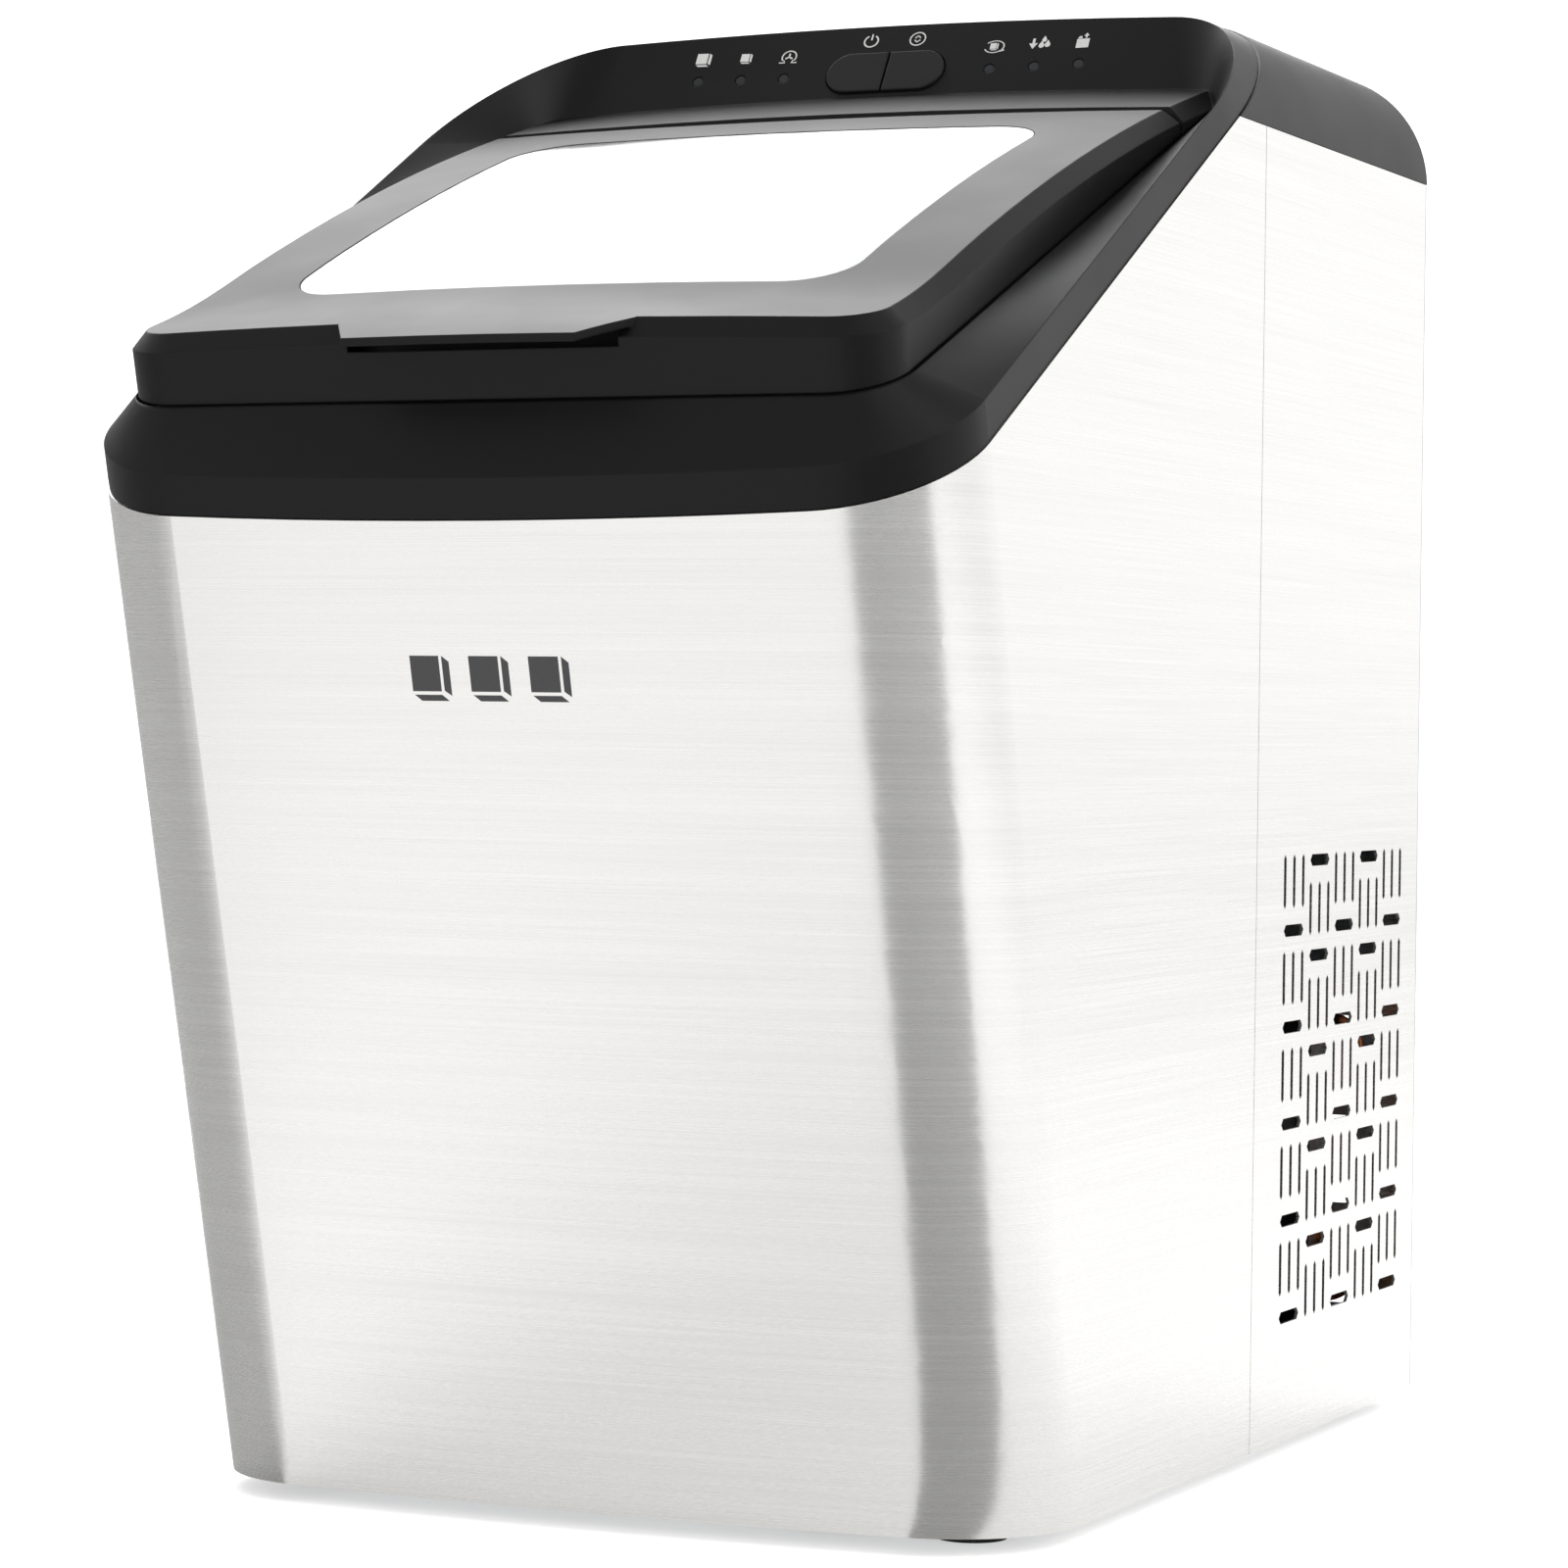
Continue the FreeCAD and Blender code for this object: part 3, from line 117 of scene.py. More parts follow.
class FinishSettings(bpy.types.PropertyGroup):
    steel: bpy.props.StringProperty(
        name="Steel", description="sRGB hex colour of the stainless steel", default="E4E3E1")
    satin: bpy.props.StringProperty(
        name="Satin ABS", description="sRGB hex colour of the black mouldings", default="0E0E0F")
    print_white: bpy.props.StringProperty(
        name="Printing", description="sRGB hex colour of the printed symbols", default="D8D8D6")
    emblem_ink: bpy.props.StringProperty(
        name="Emblem", description="sRGB hex colour of the emblem on the front", default="3A3A3C")
    print_thickness: bpy.props.FloatProperty(
        name="Printing thickness", description="Height of the pad printing", default=0.06 * MM,
        unit="LENGTH", min=0.0, precision=6)
    brush_pitch: bpy.props.FloatProperty(
        name="Brush line pitch", description="Distance between the brush lines in the steel",
        default=0.35 * MM, unit="LENGTH", min=0.00005, precision=6)


# ---------------------------------------------------------------- materials


def new_material(name):
    """An empty node material and its tree."""
    material = bpy.data.materials.new(name)
    material.use_nodes = True
    tree = material.node_tree
    tree.nodes.clear()
    return material, tree


def add(tree, kind, settings=None, **inputs):
    """Adds a node, sets its properties, and sets or links its inputs by name."""
    node = tree.nodes.new(kind)
    for key, value in (settings or {}).items():
        setattr(node, key, value)
    for key, value in inputs.items():
        name = key.replace("_", " ")
        socket = node.inputs[int(key[1:])] if key[0] == "i" and key[1:].isdigit() else node.inputs[name]
        if isinstance(value, bpy.types.NodeSocket):
            tree.links.new(value, socket)
        else:
            socket.default_value = value
    return node


def ramp(tree, factor, stops):
    """A colour ramp from (position, colour) stops."""
    node = add(tree, "ShaderNodeValToRGB", Fac=factor)
    band = node.color_ramp
    while len(band.elements) < len(stops):
        band.elements.new(0.5)
    for element, (position, colour) in zip(band.elements, stops):
        element.position = position
        element.color = colour
    return node.outputs["Color"]


def grey(level):
    """A linear grey."""
    return (level, level, level, 1.0)


def shaded(hex_colour, factor):
    """A hex colour made lighter or darker, as a linear colour."""
    colour = linear(hex_colour)
    return tuple(min(1.0, c * factor) for c in colour[:3]) + (1.0,)


def place(tree, scale=(1, 1, 1)):
    """Object coordinates, in metres, stretched by the scale."""
    source = add(tree, "ShaderNodeTexCoord").outputs["Object"]
    return add(tree, "ShaderNodeMapping", Vector=source, Scale=scale).outputs["Vector"]


def surface(tree, **inputs):
    """The material's one shader, with its inputs, joined to the output."""
    shader = add(tree, "ShaderNodeBsdfPrincipled", **inputs)
    add(tree, "ShaderNodeOutputMaterial", Surface=shader.outputs["BSDF"])


def edge_softened(tree, radius, height=None, strength=0.2, distance=0.0002):
    """A normal with the small rounding that tooling leaves on edges, and a fine relief on top."""
    normal = add(tree, "ShaderNodeBevel", {"samples": 4}, Radius=radius).outputs["Normal"]
    if height is None:
        return normal
    return add(tree, "ShaderNodeBump", Normal=normal, Height=height, Strength=strength,
               Distance=distance).outputs["Normal"]


def brushed_stainless(name, hex_colour, pitch, roughness=0.27):
    """Belt-brushed stainless steel: fine level scratches that draw highlights out up and down."""
    material, tree = new_material(name)
    across = 1.0 / pitch
    lines = add(tree, "ShaderNodeTexNoise", Vector=place(tree, (9, 9, across)),
                Scale=1.0, Detail=3.0, Roughness=0.6)
    broad = add(tree, "ShaderNodeTexNoise", Vector=place(tree, (4, 4, across / 14)),
                Scale=1.0, Detail=2.0)
    mixed = add(tree, "ShaderNodeMath", {"operation": "MULTIPLY_ADD"}, i0=broad.outputs["Fac"], i1=0.35,
                i2=lines.outputs["Fac"])
    colour = ramp(tree, mixed.outputs["Value"], [
        (0.45, shaded(hex_colour, 0.93)), (0.95, shaded(hex_colour, 1.05))])
    rough = add(tree, "ShaderNodeMapRange", Value=mixed.outputs["Value"], From_Min=0.4, From_Max=1.0,
                To_Min=roughness - 0.04, To_Max=roughness + 0.05)
    bump = add(tree, "ShaderNodeBump", Height=lines.outputs["Fac"], Strength=0.05, Distance=0.00005)
    tangent = add(tree, "ShaderNodeTangent", {"direction_type": "RADIAL", "axis": "Z"})
    surface(tree, Base_Color=colour, Metallic=1.0, Roughness=rough.outputs["Result"], Anisotropic=0.6,
            Anisotropic_Rotation=0.25, Normal=bump.outputs["Normal"], Tangent=tangent.outputs["Tangent"])
    return material


def satin_moulding(name, hex_colour, roughness=0.42, grain=0.45, relief=0.12, edge=0.0006, gloss=0.17):
    """Injection-moulded ABS from a spark-eroded tool: a fine pebbled satin that greys at low angles."""
    material, tree = new_material(name)
    pebble = add(tree, "ShaderNodeTexNoise", Vector=place(tree), Scale=1.0 / (grain * MM), Detail=2.0,
                 Roughness=0.5)
    patch = add(tree, "ShaderNodeTexNoise", Vector=place(tree), Scale=18.0, Detail=3.0)
    colour = ramp(tree, patch.outputs["Fac"], [
        (0.3, shaded(hex_colour, 0.88)), (0.7, shaded(hex_colour, 1.12))])
    rough = add(tree, "ShaderNodeMapRange", Value=patch.outputs["Fac"], From_Min=0.3, From_Max=0.7,
                To_Min=roughness - 0.03, To_Max=roughness + 0.03)
    normal = edge_softened(tree, edge, pebble.outputs["Fac"], relief, 0.0001)
    surface(tree, Base_Color=colour, Roughness=rough.outputs["Result"], IOR=1.52,
            Specular_IOR_Level=gloss, Normal=normal)
    return material


def galvanised_sheet(name, hex_colour, spangle=6.0, roughness=0.4):
    """Hot-dip galvanised sheet: pale zinc crystals of a few millimetres."""
    material, tree = new_material(name)
    crystals = add(tree, "ShaderNodeTexVoronoi", Vector=place(tree), Scale=1.0 / (spangle * MM))
    tone = add(tree, "ShaderNodeSeparateColor", Color=crystals.outputs["Color"]).outputs["Red"]
    colour = ramp(tree, tone, [(0.0, shaded(hex_colour, 0.86)), (1.0, shaded(hex_colour, 1.1))])
    rough = add(tree, "ShaderNodeMapRange", Value=tone, To_Min=roughness - 0.08, To_Max=roughness + 0.08)
    surface(tree, Base_Color=colour, Metallic=1.0, Roughness=rough.outputs["Result"],
            Normal=edge_softened(tree, 0.0003))
    return material


def drawn_metal(name, hex_colour, roughness=0.25, tarnish=0.15, scale=60.0):
    """Drawn or plated metal, a little duller where hands and flux have touched it."""
    material, tree = new_material(name)
    stain = add(tree, "ShaderNodeTexNoise", Vector=place(tree), Scale=scale, Detail=4.0)
    colour = ramp(tree, stain.outputs["Fac"], [
        (0.35, shaded(hex_colour, 1.0 - tarnish)), (0.65, shaded(hex_colour, 1.04))])
    rough = add(tree, "ShaderNodeMapRange", Value=stain.outputs["Fac"], From_Min=0.3, From_Max=0.7,
                To_Min=roughness + 0.1, To_Max=roughness - 0.05)
    surface(tree, Base_Color=colour, Metallic=1.0, Roughness=rough.outputs["Result"],
            Normal=edge_softened(tree, 0.0003))
    return material


def moulded_rubber(name, hex_colour):
    """Moulded rubber: matt, with a faint bloom."""
    material, tree = new_material(name)
    bloom = add(tree, "ShaderNodeTexNoise", Vector=place(tree), Scale=240.0, Detail=4.0)
    colour = ramp(tree, bloom.outputs["Fac"], [
        (0.35, shaded(hex_colour, 0.85)), (0.7, shaded(hex_colour, 1.3))])
    surface(tree, Base_Color=colour, Roughness=0.78, IOR=1.5,
            Normal=edge_softened(tree, 0.0004, bloom.outputs["Fac"], 0.1))
    return material


def frosted_window(name, hex_colour):
    """Frosted acrylic sheet: a polished face over a milky body, so it glows white and still mirrors."""
    material, tree = new_material(name)
    haze = add(tree, "ShaderNodeTexNoise", Vector=place(tree), Scale=9.0, Detail=3.0)
    rough = add(tree, "ShaderNodeMapRange", Value=haze.outputs["Fac"], From_Min=0.3, From_Max=0.7,
                To_Min=0.05, To_Max=0.09)
    surface(tree, Base_Color=linear(hex_colour), Roughness=rough.outputs["Result"], IOR=1.49,
            Transmission_Weight=0.25)
    return material


def milky_plastic(name, hex_colour, roughness=0.3, through=0.1):
    """Moulded polypropylene: slightly cloudy, with soft light inside it."""
    material, tree = new_material(name)
    cloud = add(tree, "ShaderNodeTexNoise", Vector=place(tree), Scale=35.0, Detail=3.0)
    colour = ramp(tree, cloud.outputs["Fac"], [
        (0.3, shaded(hex_colour, 0.95)), (0.7, shaded(hex_colour, 1.03))])
    surface(tree, Base_Color=colour, Roughness=roughness, IOR=1.49, Subsurface_Weight=through,
            Subsurface_Radius=(0.002, 0.002, 0.002), Normal=edge_softened(tree, 0.0005))
    return material


def foam(name, hex_colour):
    """Foamed-in-place polyurethane: matt skin with small open cells."""
    material, tree = new_material(name)
    cells = add(tree, "ShaderNodeTexVoronoi", Vector=place(tree), Scale=700.0)
    colour = ramp(tree, cells.outputs["Distance"], [
        (0.1, shaded(hex_colour, 1.05)), (0.8, shaded(hex_colour, 0.75))])
    bump = add(tree, "ShaderNodeBump", Height=cells.outputs["Distance"], Strength=0.4, Distance=0.0005)
    surface(tree, Base_Color=colour, Roughness=0.95, Normal=bump.outputs["Normal"])
    return material


def solder_mask(name, hex_colour):
    """Fibreglass board under solder mask, with a faint weave."""
    material, tree = new_material(name)
    weave = add(tree, "ShaderNodeTexChecker", Vector=place(tree), Scale=1.0 / (0.6 * MM),
                Color1=grey(0.0), Color2=grey(1.0))
    colour = ramp(tree, weave.outputs["Fac"], [
        (0.0, shaded(hex_colour, 0.9)), (1.0, shaded(hex_colour, 1.12))])
    surface(tree, Base_Color=colour, Roughness=0.35, IOR=1.55)
    return material


def enamel(name, hex_colour, roughness=0.3):
    """Sprayed enamel on steel, with slight orange peel."""
    material, tree = new_material(name)
    peel = add(tree, "ShaderNodeTexNoise", Vector=place(tree), Scale=420.0, Detail=1.0)
    colour = ramp(tree, peel.outputs["Fac"], [
        (0.3, shaded(hex_colour, 0.92)), (0.7, shaded(hex_colour, 1.08))])
    surface(tree, Base_Color=colour, Roughness=roughness, IOR=1.5,
            Normal=edge_softened(tree, 0.0005, peel.outputs["Fac"], 0.15))
    return material


def printed_ink(name, hex_colour):
    """Pad-printed ink: flat, slightly uneven in cover."""
    material, tree = new_material(name)
    cover = add(tree, "ShaderNodeTexNoise", Vector=place(tree), Scale=1500.0, Detail=2.0)
    colour = ramp(tree, cover.outputs["Fac"], [
        (0.3, shaded(hex_colour, 0.9)), (0.7, shaded(hex_colour, 1.02))])
    surface(tree, Base_Color=colour, Roughness=0.5, IOR=1.5)
    return material


def finishes():
    """Every material by its slot's name."""
    made = bpy.context.scene.ice_maker_finish
    return {
        "steel": brushed_stainless("brushed_stainless", made.steel, made.brush_pitch),
        "galvanised": galvanised_sheet("galvanised_sheet", "B4B8BB"),
        "black_plastic": satin_moulding("satin_abs", made.satin),
        "button_plastic": satin_moulding("satin_abs_keys", "222223", 0.36, 0.3, 0.08),
        "dark_plastic": satin_moulding("glass_filled_nylon", "26272A", 0.55, 0.4, 0.2),
        "rubber": moulded_rubber("epdm_rubber", "1A1A1A"),
        "gasket": moulded_rubber("silicone_seal", "6E6E6E"),
        "hose": milky_plastic("silicone_hose", "CDD2D4", 0.35, 0.2),
        "zinc": drawn_metal("zinc_plated_steel", "C2C6CA", 0.3, 0.12, 200.0),
        "pin_steel": drawn_metal("ground_steel", "B9BBBD", 0.18, 0.05),
        "lens": satin_moulding("smoked_lens", "303234", 0.18, 0.2, 0.02, 0.0002),
        "board": solder_mask("solder_mask", "1E5B34"),
        "window": frosted_window("frosted_acrylic", "A0A2A3"),
        "liner": milky_plastic("high_impact_polystyrene", "D9DCDE", 0.28, 0.05),
        "foam": foam("polyurethane_foam", "E2D3A0"),
        "basket": milky_plastic("frosted_polypropylene", "D3DADD", 0.4, 0.25),
        "nickel": drawn_metal("nickel_plated_copper", "CBC3B4", 0.2, 0.08),
        "white_plastic": milky_plastic("white_abs", "E6E6E2", 0.4, 0.05),
        "compressor_paint": enamel("black_enamel", "121213", 0.3),
        "dark_metal": enamel("grey_enamel", "4A4C50", 0.4),
        "copper": drawn_metal("drawn_copper", "C7794F", 0.25, 0.25, 90.0),
        "brass": drawn_metal("machined_brass", "C6A457", 0.25, 0.12),
        "aluminium": drawn_metal("aluminium_fin_stock", "D0D2D4", 0.3, 0.05),
    }


class ICEMAKER_OT_finishes(bpy.types.Operator):
    """Gives every CAD piece the finish of its material slot"""
    bl_idname = "icemaker.finishes"
    bl_label = "Finishes"

    def execute(self, context):
        made = finishes()
        slots = {part["node"]: part["material_slot"] for part in frame["record"]["subparts"]}
        for name, obj in frame["nodes"].items():
            obj.data.materials.clear()
            obj.data.materials.append(made[slots[name]])
        return {"FINISHED"}


# ---------------------------------------------------------------- printed symbols


def ring_points(radius, start=0.0, end=360.0, centre=(0.0, 0.0), count=28):
    """Points along an arc, from one angle to another in degrees."""
    angles = [math.radians(start + (end - start) * n / count) for n in range(count + 1)]
    return [(centre[0] + radius * math.cos(a), centre[1] + radius * math.sin(a)) for a in angles]


def stroke(points, width):
    """A ribbon of constant width along a line of flat points, as quads."""
    quads = []
    sides = []
    for n, (x, y) in enumerate(points):
        before = points[max(n - 1, 0)]
        after = points[min(n + 1, len(points) - 1)]
        dx, dy = after[0] - before[0], after[1] - before[1]
        length = math.hypot(dx, dy) or 1.0
        nx, ny = -dy / length * width / 2, dx / length * width / 2
        sides.append(((x + nx, y + ny), (x - nx, y - ny)))
    for (a, b), (c, d) in zip(sides, sides[1:]):
        quads.append([a, b, d, c])
    return quads


def moved(polygons, dx, dy, scale=1.0):
    """The polygons scaled about the origin and then moved."""
    return [[(x * scale + dx, y * scale + dy) for x, y in polygon] for polygon in polygons]


def cube_symbol(size):
    """A cube seen from one corner: a filled front face with a side and a foot face split off."""
    face = [(-0.5, -0.32), (0.26, -0.32), (0.26, 0.5), (-0.5, 0.5)]
    side = [(0.34, -0.3), (0.52, -0.42), (0.52, 0.36), (0.34, 0.5)]
    foot = [(-0.46, -0.4), (0.26, -0.4), (0.44, -0.54), (-0.28, -0.54)]
    return moved([face, side, foot], 0, 0, size)


def fan_symbol():
    """A three-bladed fan in an open ring on two feet."""
    ring = stroke(ring_points(2.3, -35, 215), 0.42)
    blades = []
    for turn in (90, 210, 330):
        angle = math.radians(turn)
        tip = (1.35 * math.cos(angle), 1.35 * math.sin(angle))
        blades += stroke([(0.0, 0.0), tip], 0.55)
    feet = stroke([(-2.9, -2.2), (-1.0, -2.2), (-1.6, -1.2)], 0.42)
    feet += stroke([(2.9, -2.2), (1.0, -2.2), (1.6, -1.2)], 0.42)
    return ring + blades + feet


def power_symbol():
    """The common on and off mark: an open ring with a bar."""
    return stroke(ring_points(2.2, 120, 420), 0.5) + stroke([(0, 0.4), (0, 2.7)], 0.5)


def choose_symbol():
    """A generic choice mark: a ring with a small chevron up and down inside it."""
    up = stroke([(-0.9, 0.35), (0.0, 1.2), (0.9, 0.35)], 0.42)
    down = stroke([(-0.9, -0.35), (0.0, -1.2), (0.9, -0.35)], 0.42)
    return stroke(ring_points(2.45, 0, 360), 0.42) + up + down


def cleaning_symbol():
    """A small cube with an arrow going round it."""
    loop = stroke(ring_points(3.1, 200, 500), 0.42)
    head = [[(2.0, -2.9), (3.6, -2.2), (2.5, -1.2)]]
    flat = [[(x, y * 0.72) for x, y in polygon] for polygon in loop + head]
    return flat + moved(cube_symbol(2.6), -0.1, 0.1)


def water_symbol():
    """A downward arrow and three drops."""
    arrow = stroke([(-1.8, 2.2), (-1.8, 0.2)], 0.8) + [[(-3.2, 0.4), (-0.4, 0.4), (-1.8, -1.7)]]
    drops = []
    for x, y, size in ((1.5, 1.5, 0.75), (0.9, -0.6, 0.9), (2.8, -0.4, 0.9)):
        drops.append(ring_points(size, 150, 390, (x, y), 14) + [(x, y + size * 2.0)])
    return arrow + drops


def full_symbol():
    """A filled bin with a lump of ice and an arrow above it."""
    bin_shape = [[(-2.1, -2.4), (1.9, -2.4), (1.9, 0.9), (-2.1, 0.9)]]
    arrow = stroke([(0.7, 1.2), (0.7, 2.0)], 0.6) + [[(-0.2, 2.0), (1.6, 2.0), (0.7, 3.0)]]
    lump = [[(-1.9, 1.1), (-0.5, 1.1), (-0.8, 2.0), (-1.6, 1.8)]]
    return bin_shape + arrow + lump


def panel_ray(x, slope):
    """A point just above the control panel and the direction straight into it, in metres."""
    up = Vector((0, math.cos(PANEL_TILT), math.sin(PANEL_TILT)))
    out = Vector((0, -math.sin(PANEL_TILT), math.cos(PANEL_TILT)))
    return at(x, *PANEL_EDGE) + up * slope * MM + out * RAY_START * MM, -out


def front_ray(x, height):
    """A point in front of the steel front and the direction straight back, in metres."""
    return at(x, RAY_FRONT, height), Vector((0, 1, 0))


def printed_piece(name, polygons, x, y, node, ray, thickness, ink):
    """Ink laid on a CAD piece: each polygon follows the surface and gets thin edges."""
    shape = frame["nodes"][node].data
    skin = BVHTree.FromPolygons([vertex.co[:] for vertex in shape.vertices],
                                [polygon.vertices[:] for polygon in shape.polygons])
    mesh = bmesh.new()
    for polygon in polygons:
        low, high = [], []
        for px, py in polygon:
            start, direction = ray(x + px, y + py)
            place_on, normal = skin.ray_cast(start, direction)[:2]
            outward = normal if normal.dot(direction) < 0 else -normal
            low.append(mesh.verts.new(place_on))
            high.append(mesh.verts.new(place_on + outward * thickness))
        mesh.faces.new(high)
        mesh.faces.new(low[::-1])
        for n in range(len(polygon)):
            m = (n + 1) % len(polygon)
            mesh.faces.new((low[n], low[m], high[m], high[n]))
    bmesh.ops.recalc_face_normals(mesh, faces=mesh.faces)
    data = bpy.data.meshes.new(name)
    mesh.to_mesh(data)
    mesh.free()
    piece = bpy.data.objects.new(name, data)
    bpy.context.scene.collection.objects.link(piece)
    piece.data.materials.append(ink)
    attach(piece, "cabinet")


class ICEMAKER_OT_symbols(bpy.types.Operator):
    """Prints the generic symbols above the lights and the two keys"""
    bl_idname = "icemaker.symbols"
    bl_label = "Panel symbols"

    def execute(self, context):
        made = context.scene.ice_maker_finish
        ink = printed_ink("pad_printed_ink", made.print_white)
        near, middle, far = SYMBOL_PLACES
        rows = [
            ("symbol_large_cube", cube_symbol(4.8), -far, SYMBOL_ROW),
            ("symbol_small_cube", cube_symbol(3.6), -middle, SYMBOL_ROW),
            ("symbol_fan", fan_symbol(), -near, SYMBOL_ROW),
            ("symbol_power", power_symbol(), -KEY_SYMBOL_PLACE, KEY_SYMBOL_ROW),
            ("symbol_choose", choose_symbol(), KEY_SYMBOL_PLACE, KEY_SYMBOL_ROW),
            ("symbol_cleaning", cleaning_symbol(), near, SYMBOL_ROW),
            ("symbol_water", water_symbol(), middle, SYMBOL_ROW),
            ("symbol_full", full_symbol(), far, SYMBOL_ROW),
        ]
        for name, polygons, x, slope in rows:
            printed_piece(name, polygons, x, slope, "top_frame", panel_ray,
                          made.print_thickness, ink)
        return {"FINISHED"}


class ICEMAKER_OT_emblem(bpy.types.Operator):
    """Prints a plain row of three ice cubes on the steel front"""
    bl_idname = "icemaker.emblem"
    bl_label = "Front emblem"

    def execute(self, context):
        made = context.scene.ice_maker_finish
        ink = printed_ink("screen_printed_ink", made.emblem_ink)
        cubes = []
        for step in (-1, 0, 1):
            cubes += moved(cube_symbol(EMBLEM_CUBE), step * EMBLEM_PITCH, 0)
        printed_piece("front_emblem", cubes, 0.0, EMBLEM_HEIGHT, "front_wrap", front_ray,
                      made.print_thickness, ink)
        return {"FINISHED"}


# ---------------------------------------------------------------- stage

# the camera's place and the point it looks at, in the cabinet's own millimetres, and its roll
CAMERA_PLACE = (565.8, -1475.7, 209.95)
CAMERA_TARGET = (0.589, -216.19, 191.88)
CAMERA_ROLL = math.radians(0.682)

# half the floor's width, in metres
FLOOR_REACH = 7.0

# the grey flags: name, the front corner they stand at, their azimuths in degrees and their height
FLAG_REACH = 0.9
FLAGS = (
    ("flag_right", (88, -330, -5), 16, 80, 1.2),
    ("flag_left", (-88, -330, -5), -135, -46, 0.7),
)

# the brightness of the floor's and the walls' own white, for the camera and for all else
FLOOR_GLOW = (0.5, 0.18)
WALLS_SEEN = 1.5


def add_camera(lens):
    """A level-headed camera with a slight roll, looking at the target."""
    data = bpy.data.cameras.new("camera")
    data.lens = lens
    data.sensor_width = 36.0
    camera = bpy.data.objects.new("camera", data)
    bpy.context.scene.collection.objects.link(camera)
    place_at, target = at(*CAMERA_PLACE), at(*CAMERA_TARGET)
    forward = (target - place_at).normalized()
    right = forward.cross(Vector((0, 0, 1))).normalized()
    up = right.cross(forward)
    turned_right = right * math.cos(CAMERA_ROLL) + up * math.sin(CAMERA_ROLL)
    turned_up = up * math.cos(CAMERA_ROLL) - right * math.sin(CAMERA_ROLL)
    turn = Matrix((turned_right, turned_up, -forward)).transposed()
    camera.matrix_world = Matrix.Translation(place_at) @ turn.to_4x4()
    bpy.context.scene.camera = camera


def pale_floor(hex_colour):
    """Matt white paint, with a faint roller texture."""
    material, tree = new_material("floor_paint")
    stipple = add(tree, "ShaderNodeTexNoise", Vector=place(tree), Scale=90.0, Detail=3.0)
    colour = ramp(tree, stipple.outputs["Fac"], [
        (0.3, shaded(hex_colour, 0.985)), (0.7, shaded(hex_colour, 1.0))])
    path = add(tree, "ShaderNodeLightPath")
    lit = add(tree, "ShaderNodeMapRange", Value=path.outputs["Is Camera Ray"],
              To_Min=FLOOR_GLOW[1], To_Max=FLOOR_GLOW[0])
    surface(tree, Base_Color=colour, Roughness=0.9, Specular_IOR_Level=0.0,
            Emission_Color=(1, 1, 1, 1), Emission_Strength=lit.outputs["Result"])
    return material


def grey_flag():
    """Matt grey cloth."""
    material, tree = new_material("grey_flag")
    weave = add(tree, "ShaderNodeTexChecker", Vector=place(tree), Scale=700.0,
                Color1=grey(0.42), Color2=grey(0.48))
    surface(tree, Base_Color=weave.outputs["Color"], Roughness=0.95, Specular_IOR_Level=0.0)
    return material


def stage_piece(name, points, faces, material):
    """A mesh that belongs to the stage."""
    data = bpy.data.meshes.new(name)
    data.from_pydata(points, [], faces)
    obj = bpy.data.objects.new(name, data)
    bpy.context.scene.collection.objects.link(obj)
    obj.data.materials.append(material)
    return obj


def flag(name, apex, low, high, height, material):
    """A grey flag that only reflections see: a sector on the floor, from azimuth low to high, with
    an upright cloth along its far edge. Azimuth is in degrees from straight ahead, positive to the
    right."""
    steps = 10
    angles = [math.radians(low + (high - low) * n / steps) for n in range(steps + 1)]
    rays = [Vector((math.sin(a), -math.cos(a), 0)) for a in angles]
    lift = Vector((0, 0, 0.001))
    rows = [[apex + lift for ray in rays], [apex + ray * FLAG_REACH + lift for ray in rays]]
    rows.append([point + Vector((0, 0, height)) for point in rows[1]])
    points = [point for row in rows for point in row]
    count = steps + 1
    faces = [(row * count + n, row * count + n + 1, (row + 1) * count + n + 1, (row + 1) * count + n)
             for row in range(2) for n in range(steps)]
    obj = stage_piece(name, points, faces, material)
    obj.visible_camera = False
    obj.visible_diffuse = False
    obj.visible_shadow = False
    obj.visible_transmission = False


def softbox(name, centre, aim, width, height, radiance):
    """A rectangular light of a given radiance, facing a point."""
    data = bpy.data.lights.new(name, "AREA")
    data.shape = "RECTANGLE"
    data.size, data.size_y = width, height
    data.energy = radiance * width * height * math.pi
    lamp = bpy.data.objects.new(name, data)
    bpy.context.scene.collection.objects.link(lamp)
    facing = (Vector(aim) - Vector(centre)).to_track_quat("-Z", "Y")
    lamp.matrix_world = Matrix.Translation(centre) @ facing.to_matrix().to_4x4()


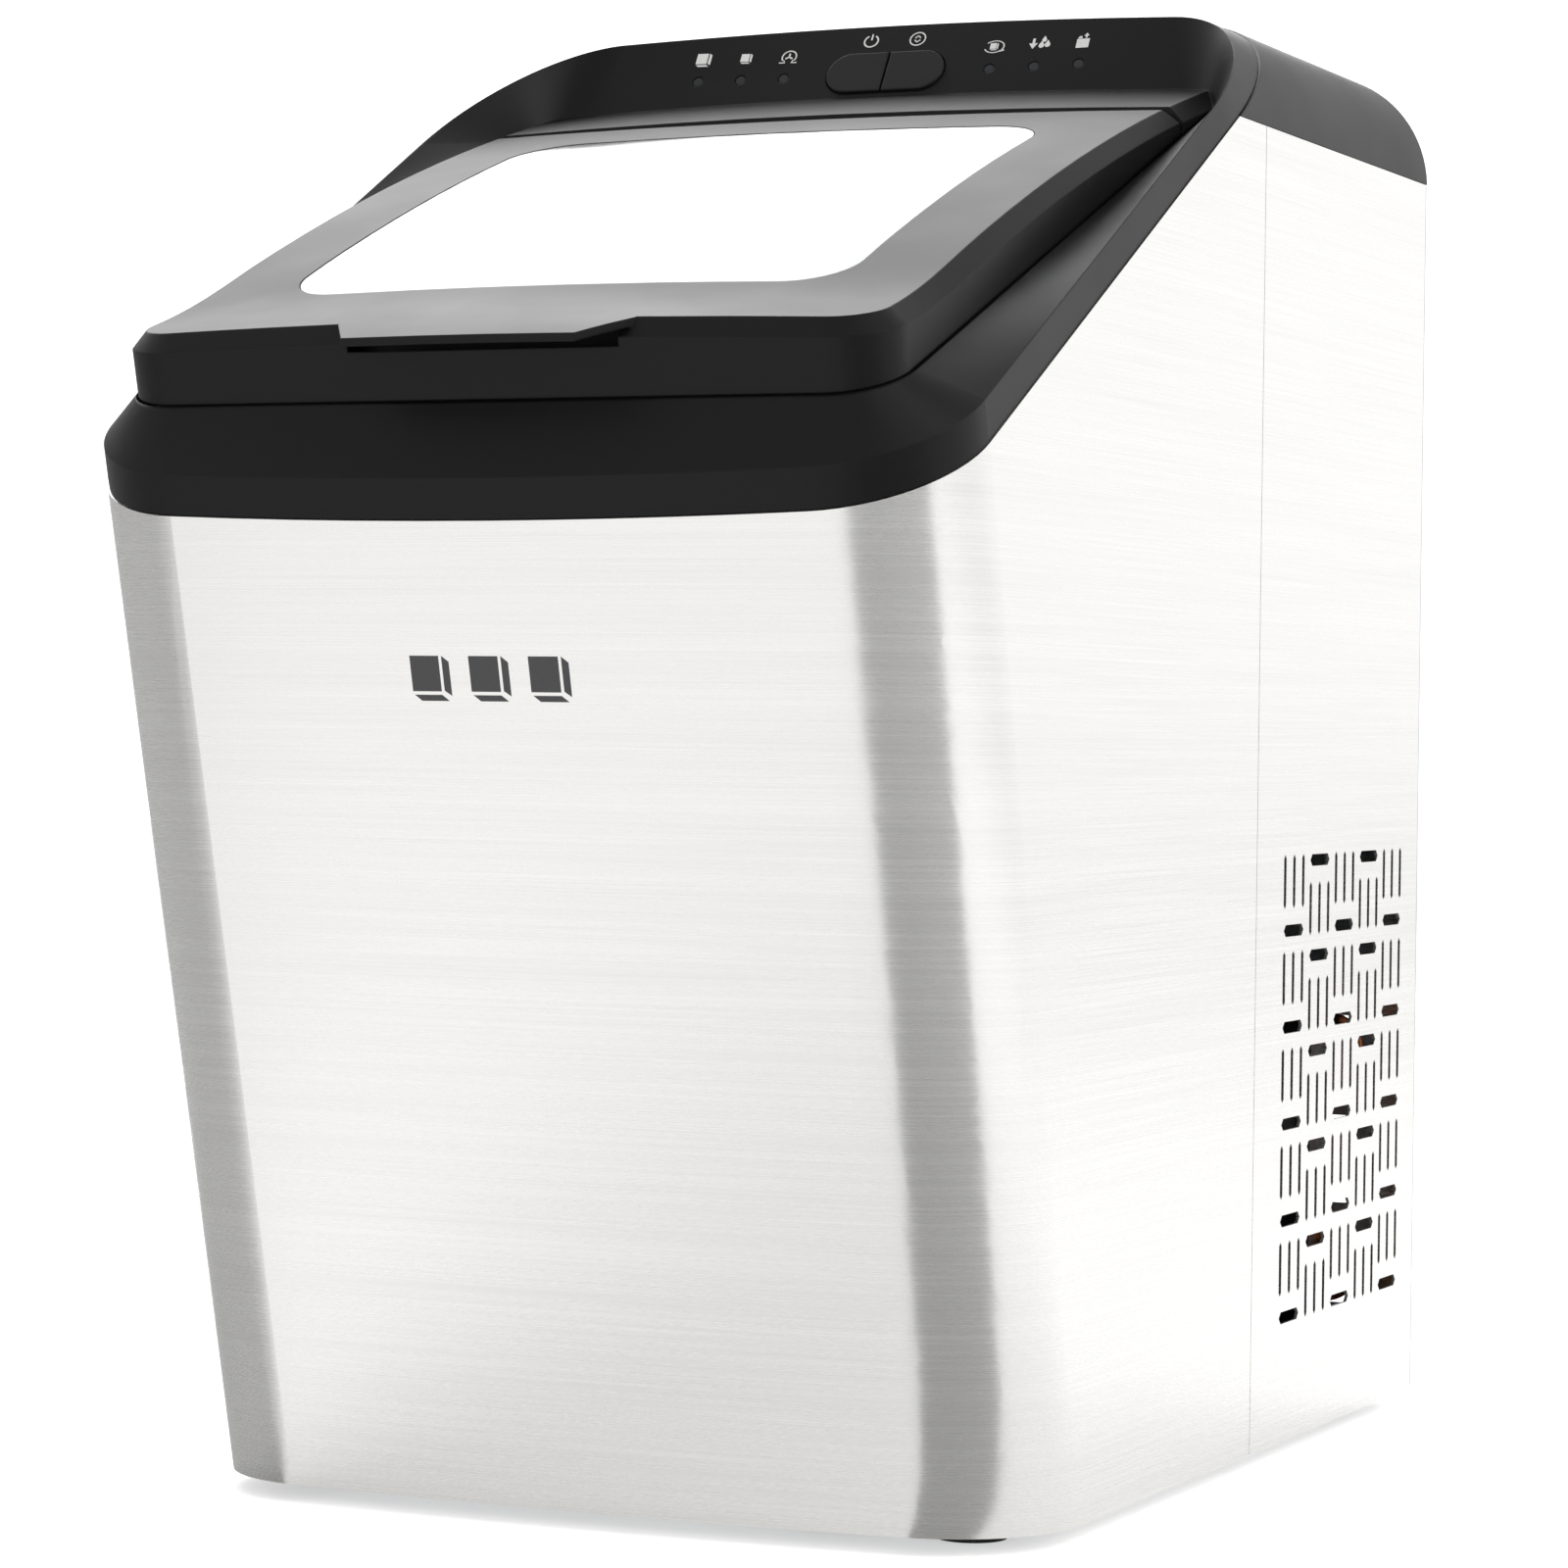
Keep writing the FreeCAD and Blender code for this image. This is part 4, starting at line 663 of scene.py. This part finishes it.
def studio_walls(radiance):
    """The studio round the cabinet: white walls, a dimmer ceiling towards the front, white behind."""
    world = bpy.data.worlds.new("studio")
    bpy.context.scene.world = world
    world.use_nodes = True
    tree = world.node_tree
    tree.nodes.clear()
    direction = add(tree, "ShaderNodeTexCoord").outputs["Generated"]
    parts = add(tree, "ShaderNodeSeparateXYZ", Vector=direction)
    up = add(tree, "ShaderNodeMapRange", {"interpolation_type": "SMOOTHSTEP"}, Value=parts.outputs["Z"],
             From_Min=0.1, From_Max=0.75, To_Min=1.0, To_Max=0.55)
    path = add(tree, "ShaderNodeLightPath")
    behind = add(tree, "ShaderNodeMapRange", Value=parts.outputs["Y"],
                 From_Min=-1.0, From_Max=0.6, To_Min=0.84 * radiance, To_Max=radiance)
    dim = add(tree, "ShaderNodeMath", {"operation": "MULTIPLY"}, i0=up.outputs["Result"],
              i1=behind.outputs["Result"])
    seen = add(tree, "ShaderNodeMapRange", Value=path.outputs["Is Camera Ray"],
               To_Min=dim.outputs["Value"], To_Max=WALLS_SEEN)
    light = add(tree, "ShaderNodeBackground", Color=(1, 1, 1, 1), Strength=seen.outputs["Result"])
    add(tree, "ShaderNodeOutputWorld", Surface=light.outputs["Background"])


class ICEMAKER_OT_stage(bpy.types.Operator):
    """Builds the floor, the soft studio light and the camera"""
    bl_idname = "icemaker.stage"
    bl_label = "Stage"

    def execute(self, context):
        wanted = context.scene.ice_maker_stage
        context.scene.view_settings.view_transform = "Standard"
        studio_walls(wanted.studio_light)
        reach = FLOOR_REACH
        corners = [(-reach, -reach, 0), (reach, -reach, 0), (reach, reach, 0), (-reach, reach, 0)]
        stage_piece("floor", corners, [(0, 1, 2, 3)], pale_floor(wanted.floor_colour))
        cloth = grey_flag()
        for name, corner, low, high, height in FLAGS:
            flag(name, at(*corner), low, high, height, cloth)
        softbox("rear_softbox", (-0.95, 1.35, 1.75), (0, 0, 0.35), 2.2, 1.6, wanted.rear_light)
        softbox("side_softbox", (1.7, -0.55, 1.5), (0, -0.1, 0.3), 1.2, 0.9, wanted.side_light)
        add_camera(wanted.lens)
        return {"FINISHED"}


# ---------------------------------------------------------------- panel and start


class ICEMAKER_PT_panel(bpy.types.Panel):
    """Lists the steps that finish the ice maker"""
    bl_idname = "ICEMAKER_PT_panel"
    bl_label = "Ice Maker"
    bl_space_type = "VIEW_3D"
    bl_region_type = "UI"
    bl_category = "Ice Maker"

    def draw(self, context):
        for settings in (context.scene.ice_maker_finish, context.scene.ice_maker_stage):
            for key in settings.bl_rna.properties.keys():
                if key not in ("rna_type", "name"):
                    self.layout.prop(settings, key)
        for operator in OPERATORS:
            self.layout.operator(operator.bl_idname)


OPERATORS = (ICEMAKER_OT_finishes, ICEMAKER_OT_symbols, ICEMAKER_OT_emblem, ICEMAKER_OT_stage)
CLASSES = (StageSettings, FinishSettings, ICEMAKER_PT_panel) + OPERATORS


def register():
    for item in CLASSES:
        bpy.utils.register_class(item)
    bpy.types.Scene.ice_maker_stage = bpy.props.PointerProperty(type=StageSettings)
    bpy.types.Scene.ice_maker_finish = bpy.props.PointerProperty(type=FinishSettings)


def unregister():
    del bpy.types.Scene.ice_maker_finish
    del bpy.types.Scene.ice_maker_stage
    for item in reversed(CLASSES):
        bpy.utils.unregister_class(item)


def main():
    register()
    bpy.ops.icemaker.finishes()
    bpy.ops.icemaker.symbols()
    bpy.ops.icemaker.emblem()
    bpy.ops.icemaker.stage()


if __name__ == "__main__":
    main()
